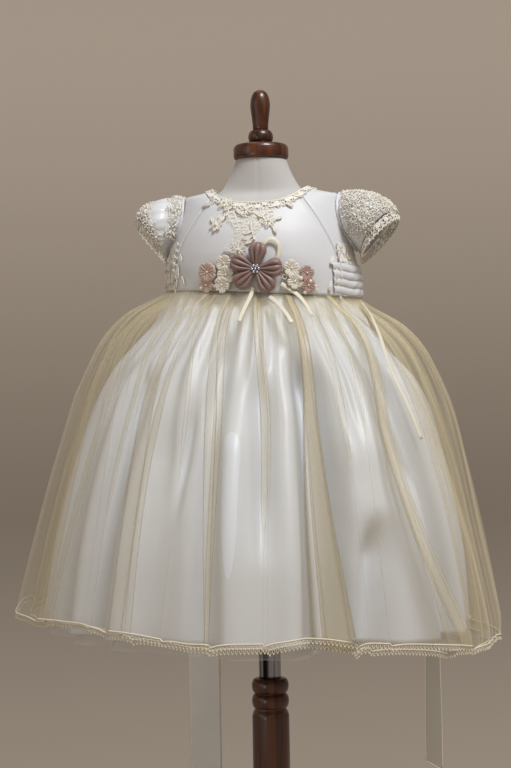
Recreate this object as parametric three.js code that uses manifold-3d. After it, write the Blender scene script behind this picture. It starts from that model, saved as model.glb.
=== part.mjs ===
// A child's christening gown on a limbless dress form with a turned wooden stand.
// The gown has a princess-cut satin bodice, lace cap sleeves, a sash tied behind, and a
// skirt of four layers: a net petticoat, a satin skirt and two tulles, all gathered into
// the waist seam. A satin flower with ribbons and small blossoms sits at the front waist.
// Millimetres, +Z up, the gown's front faces -Y, the origin is on the floor on the pole's axis.
import * as THREE from "three";
import { mergeVertices } from "three/addons/utils/BufferGeometryUtils.js";
import Module from "manifold-3d";

const wasm = await Module();
wasm.setup();

// ---------- Driving dimensions ----------

const SEAM_GAP = 0.3; // between two sewn pieces
const SATIN_WALL = 1.2; // bodice satin with its interlining
const SKIRT_WALL = 1; // skirt cloths, laces and ribbons
const LAY = SEAM_GAP + SKIRT_WALL; // how far a thin piece laid on a panel stands out

const WAIST_Z = 618; // waist seam
const UNDERARM_Z = 660;
const SHOULDER_TIP = { x: 77, z: 717 };
const NECK_SIDE = { x: 48, z: 724 };
const NECK_FRONT_Z = 706;
const NECK_BACK_Z = 716;
const ARMHOLE_CUT = 22; // how far the armhole is cut in from the side, front and back
const NECKLINE_POWER = 3; // how square the round neckline is

const TORSO_BOTTOM_Z = 468;
const POLE_R = 11;
const COLUMN_TOP_Z = 236;
const COLUMN_R = 18.5;
const BASE_R = 132;
const BASE_TOP_Z = 34;
const NECK_TOP_Z = 754;

const FLOWER = { x: 4, z: 640, gap: 1.6 }; // big satin flower, and its stand-off from the bodice

// ---------- Tables ----------

// Outer surface of the bodice: half-width and half-depth of its oval at each height.
const BODICE = [
  { z: 618, wide: 97, deep: 74 },
  { z: 640, wide: 96.5, deep: 75.5 },
  { z: 655, wide: 93.5, deep: 75 },
  { z: 675, wide: 88, deep: 70.5 },
  { z: 690, wide: 83.5, deep: 63.5 },
  { z: 705, wide: 79.5, deep: 54 },
  { z: 713, wide: 78, deep: 46 },
  { z: 717, wide: 77, deep: 40 },
  { z: 720, wide: 64.6, deep: 35.5 },
  { z: 724, wide: 48, deep: 30 },
];

// Princess seam between the centre front and each side front: its distance from the middle.
const PRINCESS_SEAM = [
  { z: 618, x: 84 },
  { z: 640, x: 82.5 },
  { z: 654, x: 79 },
  { z: 672, x: 71 },
  { z: 690, x: 60.5 },
  { z: 705, x: 50 },
  { z: 717, x: 41 },
];

// Jersey dress form: ovals from the flat bottom to the top of the neck.
const TORSO = [
  { z: TORSO_BOTTOM_Z, wide: 78, deep: 60 },
  { z: 471, wide: 84, deep: 66 },
  { z: 478, wide: 88, deep: 69.5 },
  { z: 500, wide: 90, deep: 70 },
  { z: 560, wide: 90.5, deep: 69 },
  { z: 600, wide: 90, deep: 67.5 },
  { z: 618, wide: 90, deep: 67.5 },
  { z: 640, wide: 91, deep: 69.5 },
  { z: 655, wide: 89, deep: 70 },
  { z: 675, wide: 83, deep: 65.5 },
  { z: 690, wide: 78.5, deep: 58.5 },
  { z: 705, wide: 74, deep: 47 },
  { z: 711, wide: 70.5, deep: 38.5 },
  { z: 715, wide: 61, deep: 31 },
  { z: 718, wide: 50, deep: 26 },
  { z: 723, wide: 41, deep: 25 },
  { z: 733, wide: 34, deep: 25 },
  { z: 743, wide: 29, deep: 25 },
  { z: NECK_TOP_Z, wide: 25, deep: 24.5 },
];

// Half-width of each skirt layer by height. The half-depth is a share of it: see roundness.
const PETTICOAT = [
  { z: 618, wide: 93 },
  { z: 605, wide: 94 },
  { z: 590, wide: 97 },
  { z: 565, wide: 116 },
  { z: 537, wide: 137.5 },
  { z: 500, wide: 156 },
  { z: 436, wide: 176.5 },
  { z: 368, wide: 191.5 },
  { z: 296, wide: 201 },
  { z: 284, wide: 206 },
];
const SATIN_SKIRT = [
  { z: 618, wide: 94.4 },
  { z: 605, wide: 97 },
  { z: 590, wide: 103 },
  { z: 565, wide: 123 },
  { z: 537, wide: 145 },
  { z: 500, wide: 164 },
  { z: 436, wide: 184.5 },
  { z: 368, wide: 199.5 },
  { z: 294, wide: 209 },
];
const INNER_TULLE = [
  { z: 618, wide: 95.8 },
  { z: 608, wide: 103.4 },
  { z: 594, wide: 122 },
  { z: 574, wide: 143 },
  { z: 554, wide: 156 },
  { z: 514, wide: 173 },
  { z: 454, wide: 193 },
  { z: 394, wide: 208 },
  { z: 334, wide: 221 },
  { z: 290, wide: 229 },
];
const OUTER_TULLE = [
  { z: 618, wide: 97.7 },
  { z: 608, wide: 113 },
  { z: 594, wide: 136.5 },
  { z: 574, wide: 157 },
  { z: 554, wide: 169.5 },
  { z: 514, wide: 187.5 },
  { z: 454, wide: 204 },
  { z: 394, wide: 218.5 },
  { z: 334, wide: 233 },
  { z: 300, wide: 241 },
];

// The large folds of the skirt: where each one is in degrees from the front towards +X,
// at the waist and at the hem, its half-width in degrees and its depth. A trough is
// negative. Every layer follows them by its own share.
const FOLDS = [
  { waist: -24, hem: -14, half: 9, depth: -7 },
  { waist: -58, hem: -40, half: 11, depth: -6 },
  { waist: -2, hem: 2, half: 8, depth: -5 },
  { waist: 18, hem: 19, half: 10, depth: -12 },
  { waist: 50, hem: 58, half: 15, depth: 9 },
  { waist: 84, hem: 80, half: 12, depth: -6 },
  { waist: -92, hem: -96, half: 18, depth: 6 },
  { waist: -128, hem: -124, half: 11, depth: -7 },
  { waist: -158, hem: -152, half: 10, depth: -5 },
  { waist: 172, hem: 176, half: 11, depth: -8 },
  { waist: 146, hem: 148, half: 12, depth: 6 },
  { waist: 118, hem: 114, half: 10, depth: -7 },
];

// One skirt layer each: its profile, how much it follows the folds, the count and height of
// its own gathers, its hem's mean height and how much lower the hem is on the right.
const LAYERS = {
  petticoat: { profile: PETTICOAT, share: 0.3, waves: 9, wave: 1.2, hem: 284, droop: 2, columns: 36 },
  satin_skirt: { profile: SATIN_SKIRT, share: 0.4, waves: 9, wave: 2.2, hem: 294, droop: 3, columns: 36 },
  inner_tulle: { profile: INNER_TULLE, share: 0.8, waves: 11, wave: 2.2, hem: 296, droop: 9, columns: 44 },
  outer_tulle: { profile: OUTER_TULLE, share: 1, waves: 15, wave: 2.6, hem: 305, droop: 7, columns: 60 },
};
const SKIRT_ROWS = [0, 0.05, 0.16, 0.36, 0.66, 1]; // share of the drop at each row
const HEM_LACE_DEPTH = 5;
const SKIRT_SWAY = 9; // how far the hem's middle lies towards -X

// Cap sleeve, right side: rings from the armhole to its hem. Each ring passes its top, its
// middle and its underarm; depth is how far it reaches to front and back, and lift is how
// much higher its front is than its back.
const SLEEVE = [
  { topX: 79, topZ: 718, midX: 80, lowX: 95, lowZ: 661, depth: 22, lift: 0 },
  { topX: 85, topZ: 718.6, midX: 86, lowX: 95.6, lowZ: 659.8, depth: 30, lift: 1 },
  { topX: 98, topZ: 718.2, midX: 94, lowX: 96.2, lowZ: 659, depth: 38, lift: 3 },
  { topX: 112, topZ: 714.5, midX: 102, lowX: 96.8, lowZ: 658.2, depth: 41, lift: 5 },
  { topX: 124, topZ: 707.5, midX: 107.5, lowX: 97.2, lowZ: 657.6, depth: 40.5, lift: 7 },
  { topX: 131, topZ: 699, midX: 111, lowX: 97.6, lowZ: 657, depth: 38, lift: 9 },
];
const SLEEVE_COLUMNS = 20;
const SLEEVE_CLEAR = 1;
const SLEEVE_LACE_REACH = 9;

// Lace motif on the centre front: its middle line and half-width by height.
const MOTIF = [
  { z: 652, x: -14, half: 6 },
  { z: 664, x: -13, half: 8 },
  { z: 678, x: -6, half: 12 },
  { z: 690, x: -4, half: 24 },
  { z: 699, x: -6, half: 25 },
];

// The five petals of the big flower: their directions in degrees, from +X towards +Z.
const PETAL_TURNS = [84, 4, -56, -142, 160];
const PETAL = [
  { out: 4, wide: 2.6, thick: 2.2 },
  { out: 8, wide: 7, thick: 4.4 },
  { out: 13, wide: 12.6, thick: 6.4 },
  { out: 18, wide: 17, thick: 7 },
  { out: 22, wide: 15.6, thick: 6.2 },
  { out: 25, wide: 8.6, thick: 3.6 },
];

// Small blossoms beside the flower, as lobed discs in one plane each.
const BLOSSOMS = {
  blossom_pink_left: [{ x: -44, z: 636, r: 8.4 }],
  blossom_pink_left_low: [{ x: -45.5, z: 622.4, r: 5.4 }],
  blossom_mauve_right_top: [{ x: 49.5, z: 638.6, r: 5.4 }],
  blossom_mauve_right_low: [{ x: 50, z: 627.4, r: 5.6 }],
  blossom_cream_left: [
    { x: -29.5, z: 643, r: 6 },
    { x: -28, z: 633, r: 6.5 },
    { x: -29, z: 624.4, r: 5.6 },
  ],
  blossom_cream_right: [
    { x: 35.4, z: 641, r: 6 },
    { x: 38.2, z: 631.6, r: 5 },
  ],
};
const BLOSSOM_THICK = 2;
const PEARLS = {
  pearl_left: { x: -36, z: 621.6, r: 2.6 },
  pearl_right: { x: 44.2, z: 633, r: 2 },
};

// Narrow ribbons at the front, by X and height: one row for each point of their run.
const RIBBONS = {
  flower_ribbon_loop: [
    { x: 8, z: 653.5 },
    { x: 11, z: 664 },
    { x: 18, z: 668.5 },
    { x: 25, z: 663 },
    { x: 24.5, z: 653 },
    { x: 20.5, z: 646.5 },
  ],
  flower_tail_left: [
    { x: 0.5, z: 621.5 },
    { x: -1.5, z: 612 },
    { x: -5, z: 600 },
    { x: -8, z: 588 },
  ],
  flower_tail_middle: [
    { x: 16, z: 613.5 },
    { x: 22, z: 609 },
    { x: 28.5, z: 603 },
    { x: 35, z: 596 },
    { x: 40, z: 589 },
  ],
  flower_tail_right: [
    { x: 26.5, z: 626.5 },
    { x: 34, z: 621.5 },
    { x: 43, z: 615 },
    { x: 51, z: 606 },
    { x: 57, z: 597 },
  ],
};
const RIBBON_WIDE = 4;

// Pieces that lie on the outer tulle, by turn in degrees and height. The tails leave the
// tulle at the hem and hang straight below it.
const WAIST_RIBBON = [
  { turn: 72, z: 611 },
  { turn: 65.5, z: 590 },
  { turn: 60, z: 562 },
  { turn: 56.5, z: 530 },
  { turn: 55, z: 500 },
  { turn: 56, z: 474 },
];
const SATIN_TAIL = { wide: 35, waistTurn: 189, hemTurn: 203, end: 78, stand: 3 };
const ORGANZA_TAIL = { wide: 17, waistTurn: 171, hemTurn: 139, end: 108, stand: 3 };
const TAIL_TOP_Z = 622;

// Sash: heights of its edges and the stand-off from the bodice.
const SASH = { low: 620, high: 650, folds: 4, foldDeep: 1.1, stand: 4 };

const COLOUR = {
  satin: 0xf3efe6,
  tulle: 0xe6d9b8,
  net: 0xe9ebe6,
  lace: 0xe2d3ac,
  jersey: 0xe8e6e0,
  wood: 0x5a2312,
  chrome: 0xc8ccd0,
  mauve: 0x8b625c,
  pink: 0xc9a595,
  cream: 0xe8dcc4,
  pearl: 0xf0e4cd,
  crystal: 0xd8e2ea,
};

// ---------- Shared functions ----------

const group = new THREE.Group();

// Adds one named piece to the model.
function add(name, geometry, colour, roughness = 0.7, metalness = 0) {
  const material = new THREE.MeshStandardMaterial({ color: colour, roughness, metalness });
  const mesh = new THREE.Mesh(geometry, material);
  mesh.name = name;
  group.add(mesh);
}

const mix = THREE.MathUtils.lerp;
const rad = THREE.MathUtils.degToRad;

// The value of a column where the key column reaches `at`, on a smooth curve through the rows.
function read(rows, key, at, column) {
  const down = rows[rows.length - 1][key] < rows[0][key];
  const past = (row) => (down ? row[key] <= at : row[key] >= at);
  const found = rows.findIndex(past);
  const next = found < 0 ? rows.length - 1 : Math.max(found, 1);
  const ends = [rows[Math.max(next - 2, 0)], rows[next - 1], rows[next]];
  ends.push(rows[Math.min(next + 1, rows.length - 1)]);
  const span = ends[2][key] - ends[1][key];
  const t = THREE.MathUtils.clamp((at - ends[1][key]) / span, 0, 1);
  const steep = (ends[2][column] - ends[1][column]) / span;
  const slope = (before, after) => {
    const wide = after[key] - before[key];
    const mean = (after[column] - before[column]) / wide;
    return Math.sign(steep) * Math.min(Math.abs(mean), 2 * Math.abs(steep));
  };
  const m1 = slope(ends[0], ends[2]) * span;
  const m2 = slope(ends[1], ends[3]) * span;
  const a = ends[1][column];
  const b = ends[2][column];
  const t2 = t * t;
  const t3 = t2 * t;
  return a * (2 * t3 - 3 * t2 + 1) + m1 * (t3 - 2 * t2 + t) + b * (3 * t2 - 2 * t3) + m2 * (t3 - t2);
}

// Signed volume of an indexed mesh, to tell which way its faces point.
function volume(positions, index) {
  const [a, b, c] = [new THREE.Vector3(), new THREE.Vector3(), new THREE.Vector3()];
  let sum = 0;
  for (let i = 0; i < index.length; i += 3) {
    a.fromArray(positions, 3 * index[i]);
    b.fromArray(positions, 3 * index[i + 1]);
    c.fromArray(positions, 3 * index[i + 2]);
    sum += a.dot(b.cross(c));
  }
  return sum / 6;
}

// A closed geometry from points and faces, turned so that its faces point out.
function closed(points, index) {
  const positions = points.flatMap((p) => [p.x, p.y, p.z]);
  const turned = volume(positions, index) < 0;
  const faces = turned ? index.map((_, i) => index[i - (i % 3) + [0, 2, 1][i % 3]]) : index;
  const geometry = new THREE.BufferGeometry();
  geometry.setAttribute("position", new THREE.Float32BufferAttribute(positions, 3));
  geometry.setIndex(faces);
  geometry.computeVertexNormals();
  return geometry;
}

// Outward normal of a grid of points at one place, from its neighbours.
function normalAt(grid, row, column, ring) {
  const across = grid[row];
  const count = across.length;
  const left = ring ? across[(column + count - 1) % count] : across[Math.max(column - 1, 0)];
  const right = ring ? across[(column + 1) % count] : across[Math.min(column + 1, count - 1)];
  const above = grid[Math.max(row - 1, 0)][column];
  const below = grid[Math.min(row + 1, grid.length - 1)][column];
  return right.clone().sub(left).cross(above.clone().sub(below)).normalize();
}

// A cloth wall: the grid's points are its outer face, rows run from top to bottom and
// columns to the right as seen from outside, so that the normal points out. With ring,
// the last column joins the first.
function wall(grid, thick, ring = false) {
  const rows = grid.length;
  const columns = grid[0].length;
  const outer = grid.flat();
  const inner = grid.flatMap((line, r) =>
    line.map((p, c) => p.clone().addScaledVector(normalAt(grid, r, c, ring), -thick)),
  );
  const index = [];
  const quad = (a, b, c, d) => index.push(a, b, c, a, c, d);
  const at = (r, c) => r * columns + (c % columns);
  const back = outer.length;
  const steps = ring ? columns : columns - 1;
  for (let r = 0; r < rows - 1; r++) {
    for (let c = 0; c < steps; c++) {
      quad(at(r, c), at(r + 1, c), at(r + 1, c + 1), at(r, c + 1));
      quad(back + at(r, c), back + at(r, c + 1), back + at(r + 1, c + 1), back + at(r + 1, c));
    }
  }
  for (let c = 0; c < steps; c++) {
    const low = rows - 1;
    quad(at(0, c), at(0, c + 1), back + at(0, c + 1), back + at(0, c));
    quad(at(low, c + 1), at(low, c), back + at(low, c), back + at(low, c + 1));
  }
  for (let r = 0; r < rows - 1 && !ring; r++) {
    const end = columns - 1;
    quad(at(r + 1, 0), at(r, 0), back + at(r, 0), back + at(r + 1, 0));
    quad(at(r, end), at(r + 1, end), back + at(r + 1, end), back + at(r, end));
  }
  return closed([...outer, ...inner], index);
}

// Moves a grid of points out of its own surface, for a piece that lies on it.
function moved(grid, by, ring = false) {
  return grid.map((line, r) =>
    line.map((p, c) => p.clone().addScaledVector(normalAt(grid, r, c, ring), by)),
  );
}

// A solid through closed sections of equal counts, with flat ends.
function loft(sections) {
  const sides = sections[0].length;
  const points = sections.flat();
  const index = [];
  for (let s = 0; s < sections.length - 1; s++) {
    for (let i = 0; i < sides; i++) {
      const a = s * sides + i;
      const b = s * sides + ((i + 1) % sides);
      index.push(a, b, b + sides, a, b + sides, a + sides);
    }
  }
  for (const [start, turn] of [[0, false], [(sections.length - 1) * sides, true]]) {
    for (let i = 1; i < sides - 1; i++) {
      index.push(start, ...(turn ? [start + i, start + i + 1] : [start + i + 1, start + i]));
    }
  }
  return closed(points, index);
}

const steps = (count) => Array.from({ length: count + 1 }, (_, i) => i / count);

// ---------- Dress form and stand ----------

// A point of an oval at a height, by its turn in degrees from the front towards +X.
function ovalPoint(wide, deep, turn, z) {
  return new THREE.Vector3(wide * Math.sin(rad(turn)), -deep * Math.cos(rad(turn)), z);
}

function addTorso() {
  const sides = 28;
  const ring = (row) =>
    steps(sides)
      .slice(0, -1)
      .map((s) => ovalPoint(row.wide, row.deep, 360 * s, row.z));
  add("torso", loft(TORSO.map(ring)), COLOUR.jersey, 0.9);
}

// A turned piece from its profile of [radius, height], both ends on the axis.
function turned(profile, sides = 24) {
  const points = profile.map(([r, z]) => new THREE.Vector2(r, z));
  const geometry = new THREE.LatheGeometry(points, sides).rotateX(Math.PI / 2);
  geometry.deleteAttribute("normal");
  geometry.deleteAttribute("uv");
  const merged = mergeVertices(geometry, 1e-3);
  const at = merged.getAttribute("position").array;
  const points3 = [];
  for (let i = 0; i < at.length; i += 3) points3.push(new THREE.Vector3(at[i], at[i + 1], at[i + 2]));
  const faces = [];
  const index = Array.from(merged.index.array);
  for (let i = 0; i < index.length; i += 3) {
    const [a, b, c] = index.slice(i, i + 3);
    if (a !== b && b !== c && c !== a) faces.push(a, b, c);
  }
  return closed(points3, faces);
}

function addStand() {
  const cap = NECK_TOP_Z + SEAM_GAP;
  const disc = [[0, cap], [27, cap], [27.5, cap + 2], [27.5, cap + 12], [25.5, cap + 15], [0, cap + 15]];
  add("neck_cap", turned(disc, 28), COLOUR.wood, 0.35);
  const bead = cap + 15 + SEAM_GAP;
  const ring = [[0, bead], [10.5, bead], [12.5, bead + 4], [12.5, bead + 9], [10, bead + 14], [0, bead + 14]];
  add("finial_ring", turned(ring, 20), COLOUR.wood, 0.35);
  const post = bead + 14 + SEAM_GAP;
  const finial = [
    [0, post],
    [7.5, post],
    [8.2, post + 8],
    [10, post + 22],
    [9.6, post + 30],
    [6.5, post + 37],
    [0, post + 40],
  ];
  add("finial", turned(finial, 20), COLOUR.wood, 0.35);
  const top = TORSO_BOTTOM_Z - SEAM_GAP;
  const low = COLUMN_TOP_Z + SEAM_GAP;
  const tube = [[0, low], [POLE_R, low], [POLE_R, top], [0, top]];
  add("chrome_tube", turned(tube), COLOUR.chrome, 0.15, 1);
  const foot = BASE_TOP_Z + SEAM_GAP;
  const column = [
    [0, COLUMN_TOP_Z],
    [16.5, COLUMN_TOP_Z],
    [COLUMN_R, COLUMN_TOP_Z - 4],
    [COLUMN_R, COLUMN_TOP_Z - 10],
    [15.5, COLUMN_TOP_Z - 15],
    [COLUMN_R, COLUMN_TOP_Z - 20],
    [COLUMN_R, COLUMN_TOP_Z - 26],
    [16, COLUMN_TOP_Z - 31],
    [COLUMN_R, COLUMN_TOP_Z - 37],
    [COLUMN_R, 96],
    [16, 88],
    [21, 74],
    [21, 62],
    [17, 52],
    [24, foot + 4],
    [24, foot],
    [0, foot],
  ];
  add("column", turned(column), COLOUR.wood, 0.35);
  const base = [
    [0, 0],
    [BASE_R - 4, 0],
    [BASE_R, 4],
    [BASE_R, 11],
    [BASE_R - 6, 17],
    [BASE_R - 34, 22],
    [48, 27],
    [34, BASE_TOP_Z],
    [0, BASE_TOP_Z],
  ];
  add("base", turned(base, 36), COLOUR.wood, 0.35);
}

// ---------- Bodice ----------

// A point of the bodice's outer face: turn in degrees from the front towards +X.
function bodicePoint(turn, z) {
  return ovalPoint(read(BODICE, "z", z, "wide"), read(BODICE, "z", z, "deep"), turn, z);
}

// The turn at which the bodice is `x` from the middle at a height.
function turnAt(x, z) {
  const share = THREE.MathUtils.clamp(x / read(BODICE, "z", z, "wide"), -1, 1);
  return THREE.MathUtils.radToDeg(Math.asin(share));
}

// Height of the neckline at a distance from the middle, widened by `spread`.
function necklineZ(x, middle, spread = 0) {
  const side = NECK_SIDE.x + spread;
  const fall = (NECK_SIDE.z - SHOULDER_TIP.z) / (SHOULDER_TIP.x - NECK_SIDE.x);
  const top = NECK_SIDE.z - spread * fall;
  const low = middle - spread;
  return low + (top - low) * Math.min(Math.abs(x) / side, 1) ** NECKLINE_POWER;
}

// The turn of the bodice's outer edge: the side seam, then the armhole above the underarm.
function edgeTurn(z) {
  const share = THREE.MathUtils.clamp((z - UNDERARM_Z) / (SHOULDER_TIP.z - UNDERARM_Z), 0, 1);
  const cut = ARMHOLE_CUT * Math.sin(Math.PI * share);
  return 90 - THREE.MathUtils.radToDeg(Math.asin(cut / read(BODICE, "z", z, "deep")));
}

const BODICE_LOW = WAIST_Z + SEAM_GAP;
const ROW_SHARES = [1, 0.98, 0.95, 0.89, 0.8, 0.68, 0.5, 0.25, 0]; // closer together at the shoulder
const GAP_TURN = 0.25; // degrees that each panel stays back from a side or princess seam
const SHOULDER_TURN = 2.4; // and from the shoulder seam, where the panels meet at an angle
const mirrorTurn = (grid, side) =>
  side > 0 ? grid : grid.map((line) => line.map((p) => new THREE.Vector3(-p.x, p.y, p.z)).reverse());

function centreFrontGrid() {
  const topX = PRINCESS_SEAM[PRINCESS_SEAM.length - 1].x;
  const sideTop = necklineZ(topX, NECK_FRONT_Z);
  return ROW_SHARES.map((v) => {
    const half = read(PRINCESS_SEAM, "z", mix(BODICE_LOW, sideTop, v), "x") - SEAM_GAP;
    return steps(8).map((s) => {
      const u = 2 * s - 1;
      const z = mix(BODICE_LOW, necklineZ(u * topX, NECK_FRONT_Z), v);
      return bodicePoint(turnAt(u * half, z), z);
    });
  });
}

// Right side front: from the princess seam and neckline to the side seam and armhole.
function sideFrontGrid() {
  const seamTop = PRINCESS_SEAM[PRINCESS_SEAM.length - 1];
  const seamZ = necklineZ(seamTop.x, NECK_FRONT_Z);
  const neckRise = NECK_SIDE.z - NECK_FRONT_Z;
  const innerX = (z) =>
    z < seamZ
      ? read(PRINCESS_SEAM, "z", z, "x") + SEAM_GAP / 2
      : NECK_SIDE.x * ((z - NECK_FRONT_Z) / neckRise) ** (1 / NECKLINE_POWER);
  return ROW_SHARES.map((v) =>
    steps(4).map((u) => {
      const inner = mix(BODICE_LOW, NECK_SIDE.z, v);
      const outer = mix(BODICE_LOW, SHOULDER_TIP.z, v);
      const start = turnAt(innerX(inner), inner) + GAP_TURN;
      const end = edgeTurn(outer) - GAP_TURN;
      const z = mix(inner, outer, u);
      return bodicePoint(Math.min(mix(start, end, u), 90 - SHOULDER_TURN * v ** 4), z);
    }),
  );
}

// Right back: from the centre back to the side seam, armhole and shoulder.
function backGrid() {
  const columns = steps(6);
  const neckShare = 0.5;
  return ROW_SHARES.map((v) =>
    columns.map((s) => {
      const u = 1 - s;
      const neckX = NECK_SIDE.x * Math.min(u / neckShare, 1);
      const shoulder = Math.max((u - neckShare) / (1 - neckShare), 0);
      const shoulderZ = mix(NECK_SIDE.z, SHOULDER_TIP.z, shoulder);
      const topZ = u < neckShare ? necklineZ(neckX, NECK_BACK_Z) : shoulderZ;
      const topTurn = u < neckShare ? turnAt(neckX, topZ) : 90;
      const z = mix(BODICE_LOW, topZ, v);
      const edge = edgeTurn(mix(BODICE_LOW, SHOULDER_TIP.z, v)) - 2 * GAP_TURN;
      const share = mix(u, topTurn / 90, v * v);
      return bodicePoint(180 - Math.min(edge * share, 90 - SHOULDER_TURN * v ** 4) - GAP_TURN, z);
    }),
  );
}

function addBodice() {
  add("bodice_centre_front", wall(centreFrontGrid(), SATIN_WALL), COLOUR.satin, 0.45);
  for (const [name, side] of [["left", -1], ["right", 1]]) {
    const front = mirrorTurn(sideFrontGrid(), side);
    add("bodice_side_front_" + name, wall(front, SATIN_WALL), COLOUR.satin, 0.45);
    const back = mirrorTurn(backGrid(), side);
    add("bodice_back_" + name, wall(back, SATIN_WALL), COLOUR.satin, 0.45);
  }
}

// Points laid on the bodice and moved out: rows by height, columns by turn.
function onBodice(heights, turns, out) {
  const base = heights.map((z, r) => turns(z, r).map((turn) => bodicePoint(turn, z)));
  return moved(base, out);
}

const BUTTON_STAND = 2.6; // the placket slopes under each button

function addBackPlacket() {
  const half = 7;
  const heights = [...ROW_SHARES.slice(2), 0.02].sort((a, b) => b - a).slice(0, -1);
  const across = (z) => [1, 0, -1].map((u) => 180 - turnAt(u * half, z));
  const grid = onBodice(heights.map((v) => mix(BODICE_LOW, NECK_BACK_Z, v)), across, LAY + 0.2);
  add("back_placket", wall(grid, SKIRT_WALL), COLOUR.satin, 0.45);
  const buttonR = 3.4;
  [706, 688, 670].forEach((z, i) => {
    const seat = bodicePoint(180, z).y + LAY + SEAM_GAP;
    const button = new THREE.SphereGeometry(buttonR, 12, 4, 0, 2 * Math.PI, 0, Math.PI / 2);
    const dome = closeDome(button).scale(1, 0.62, 1).translate(0, seat + BUTTON_STAND, z);
    add("back_button_" + (i + 1), dome, COLOUR.pearl, 0.3);
  });
}

// Closes a half sphere with a flat face.
function closeDome(geometry) {
  geometry.deleteAttribute("normal");
  geometry.deleteAttribute("uv");
  const merged = mergeVertices(geometry, 1e-3);
  const at = merged.getAttribute("position");
  const points = Array.from({ length: at.count }, (_, i) => new THREE.Vector3().fromBufferAttribute(at, i));
  const faces = [];
  const index = Array.from(merged.index.array);
  for (let i = 0; i < index.length; i += 3) {
    const [a, b, c] = index.slice(i, i + 3);
    if (a !== b && b !== c && c !== a) faces.push(a, b, c);
  }
  const rim = points.map((p, i) => i).filter((i) => points[i].y < 1e-4);
  rim.sort((i, j) => Math.atan2(points[i].z, points[i].x) - Math.atan2(points[j].z, points[j].x));
  const centre = points.push(new THREE.Vector3()) - 1;
  rim.forEach((i, k) => faces.push(i, rim[(k + 1) % rim.length], centre));
  return closed(points, faces);
}

// Narrow lace round the neckline, laid on the panels.
function addNecklineLace() {
  const count = 32;
  const ring = (spread) =>
    steps(count)
      .slice(0, -1)
      .map((s) => {
        const turn = 360 * s;
        const x = (NECK_SIDE.x + spread) * Math.sin(rad(turn));
        const front = Math.cos(rad(turn)) > 0;
        const z = necklineZ(x, front ? NECK_FRONT_Z : NECK_BACK_Z, spread);
        const bodiceTurn = turnAt(x, z);
        return bodicePoint(front ? bodiceTurn : 180 - bodiceTurn, z);
      });
  const grid = moved([ring(0.4), ring(8)], 2 * LAY + 0.4, true);
  add("neckline_lace", wall(grid, SKIRT_WALL, true), COLOUR.lace, 0.8);
}

function addLaceMotif() {
  const heights = steps(5).map((s) => mix(MOTIF[MOTIF.length - 1].z, MOTIF[0].z, s));
  const turns = (z) =>
    steps(4).map((s) => {
      const x = read(MOTIF, "z", z, "x") + (2 * s - 1) * read(MOTIF, "z", z, "half");
      return turnAt(x, z);
    });
  const grid = onBodice(heights, turns, LAY + 0.3);
  add("bodice_lace_motif", wall(grid, SKIRT_WALL), COLOUR.lace, 0.8);
}

// Lace panel down each side, from the armhole to the waist.
function addSideLace() {
  const heights = steps(5).map((s) => mix(668, BODICE_LOW + 1, s));
  const turns = (z) => {
    const rise = THREE.MathUtils.clamp((z - 640) / 28, 0, 1);
    return steps(3).map((s) => mix(mix(56, 58, rise), mix(84, 69, rise), s));
  };
  const grid = onBodice(heights, turns, LAY + 0.7);
  add("side_lace_right", wall(grid, SKIRT_WALL), COLOUR.lace, 0.8);
  add("side_lace_left", wall(mirrorTurn(grid, -1), SKIRT_WALL), COLOUR.lace, 0.8);
}

// ---------- Sleeves ----------

// A ring of the right sleeve, as seen from outside its hem.
function sleeveRing(row, gather) {
  return steps(SLEEVE_COLUMNS)
    .slice(0, -1)
    .map((s) => {
      const turn = 2 * Math.PI * s;
      const down = (1 - Math.cos(turn)) / 2;
      const bow = 4 * down * (1 - down);
      const x = mix(row.topX, row.lowX, down) + bow * (row.midX - (row.topX + row.lowX) / 2);
      const wave = gather * Math.cos(0.25 * SLEEVE_COLUMNS * turn + 0.6);
      const y = -row.depth * Math.sin(turn);
      const z = mix(row.topZ, row.lowZ, down) + row.lift * Math.sin(turn);
      const out = new THREE.Vector3(0, y, z - mix(row.topZ, row.lowZ, 0.5)).normalize();
      const clearX = Math.max(x, bodiceX(y, z) + SLEEVE_CLEAR);
      return new THREE.Vector3(clearX, y, z).addScaledVector(out, wave);
    });
}

// How far out the bodice is at a depth and a height.
function bodiceX(y, z) {
  if (z > SHOULDER_TIP.z) return 0;
  const share = Math.min(Math.abs(y) / read(BODICE, "z", z, "deep"), 1);
  return read(BODICE, "z", z, "wide") * Math.sqrt(1 - share * share);
}

function addSleeves() {
  const gathers = [0, 0.7, 1.3, 1.3, 1, 0.4];
  const rings = SLEEVE.map((row, i) => sleeveRing(row, gathers[i]));
  const last = rings[rings.length - 1];
  const before = rings[rings.length - 2];
  const edge = (reach) =>
    last.map((p, i) => {
      const down = (1 - Math.cos((2 * Math.PI * i) / SLEEVE_COLUMNS)) / 2;
      const along = p.clone().sub(before[i]);
      along.y *= 0.6;
      along.z -= 3;
      return p.clone().addScaledVector(along.normalize(), 1.8 + reach * (1 - 0.65 * down * down));
    });
  const lace = [edge(0), edge(SLEEVE_LACE_REACH)];
  for (const [name, side] of [["left", -1], ["right", 1]]) {
    const across = (grid) =>
      side > 0 ? grid : grid.map((line) => line.map((p) => new THREE.Vector3(-p.x, p.y, p.z)).reverse());
    add("sleeve_" + name, wall(across(rings), SATIN_WALL, true), COLOUR.satin, 0.5);
    add("sleeve_lace_" + name, wall(across(lace), SKIRT_WALL, true), COLOUR.lace, 0.8);
  }
}

// ---------- Skirt ----------

// Half-depth of the skirt as a share of its half-width: oval at the waist, nearly round at the hem.
const roundness = (z) => mix(0.762, 0.95, THREE.MathUtils.smoothstep(WAIST_Z - z, 0, 260));

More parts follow.
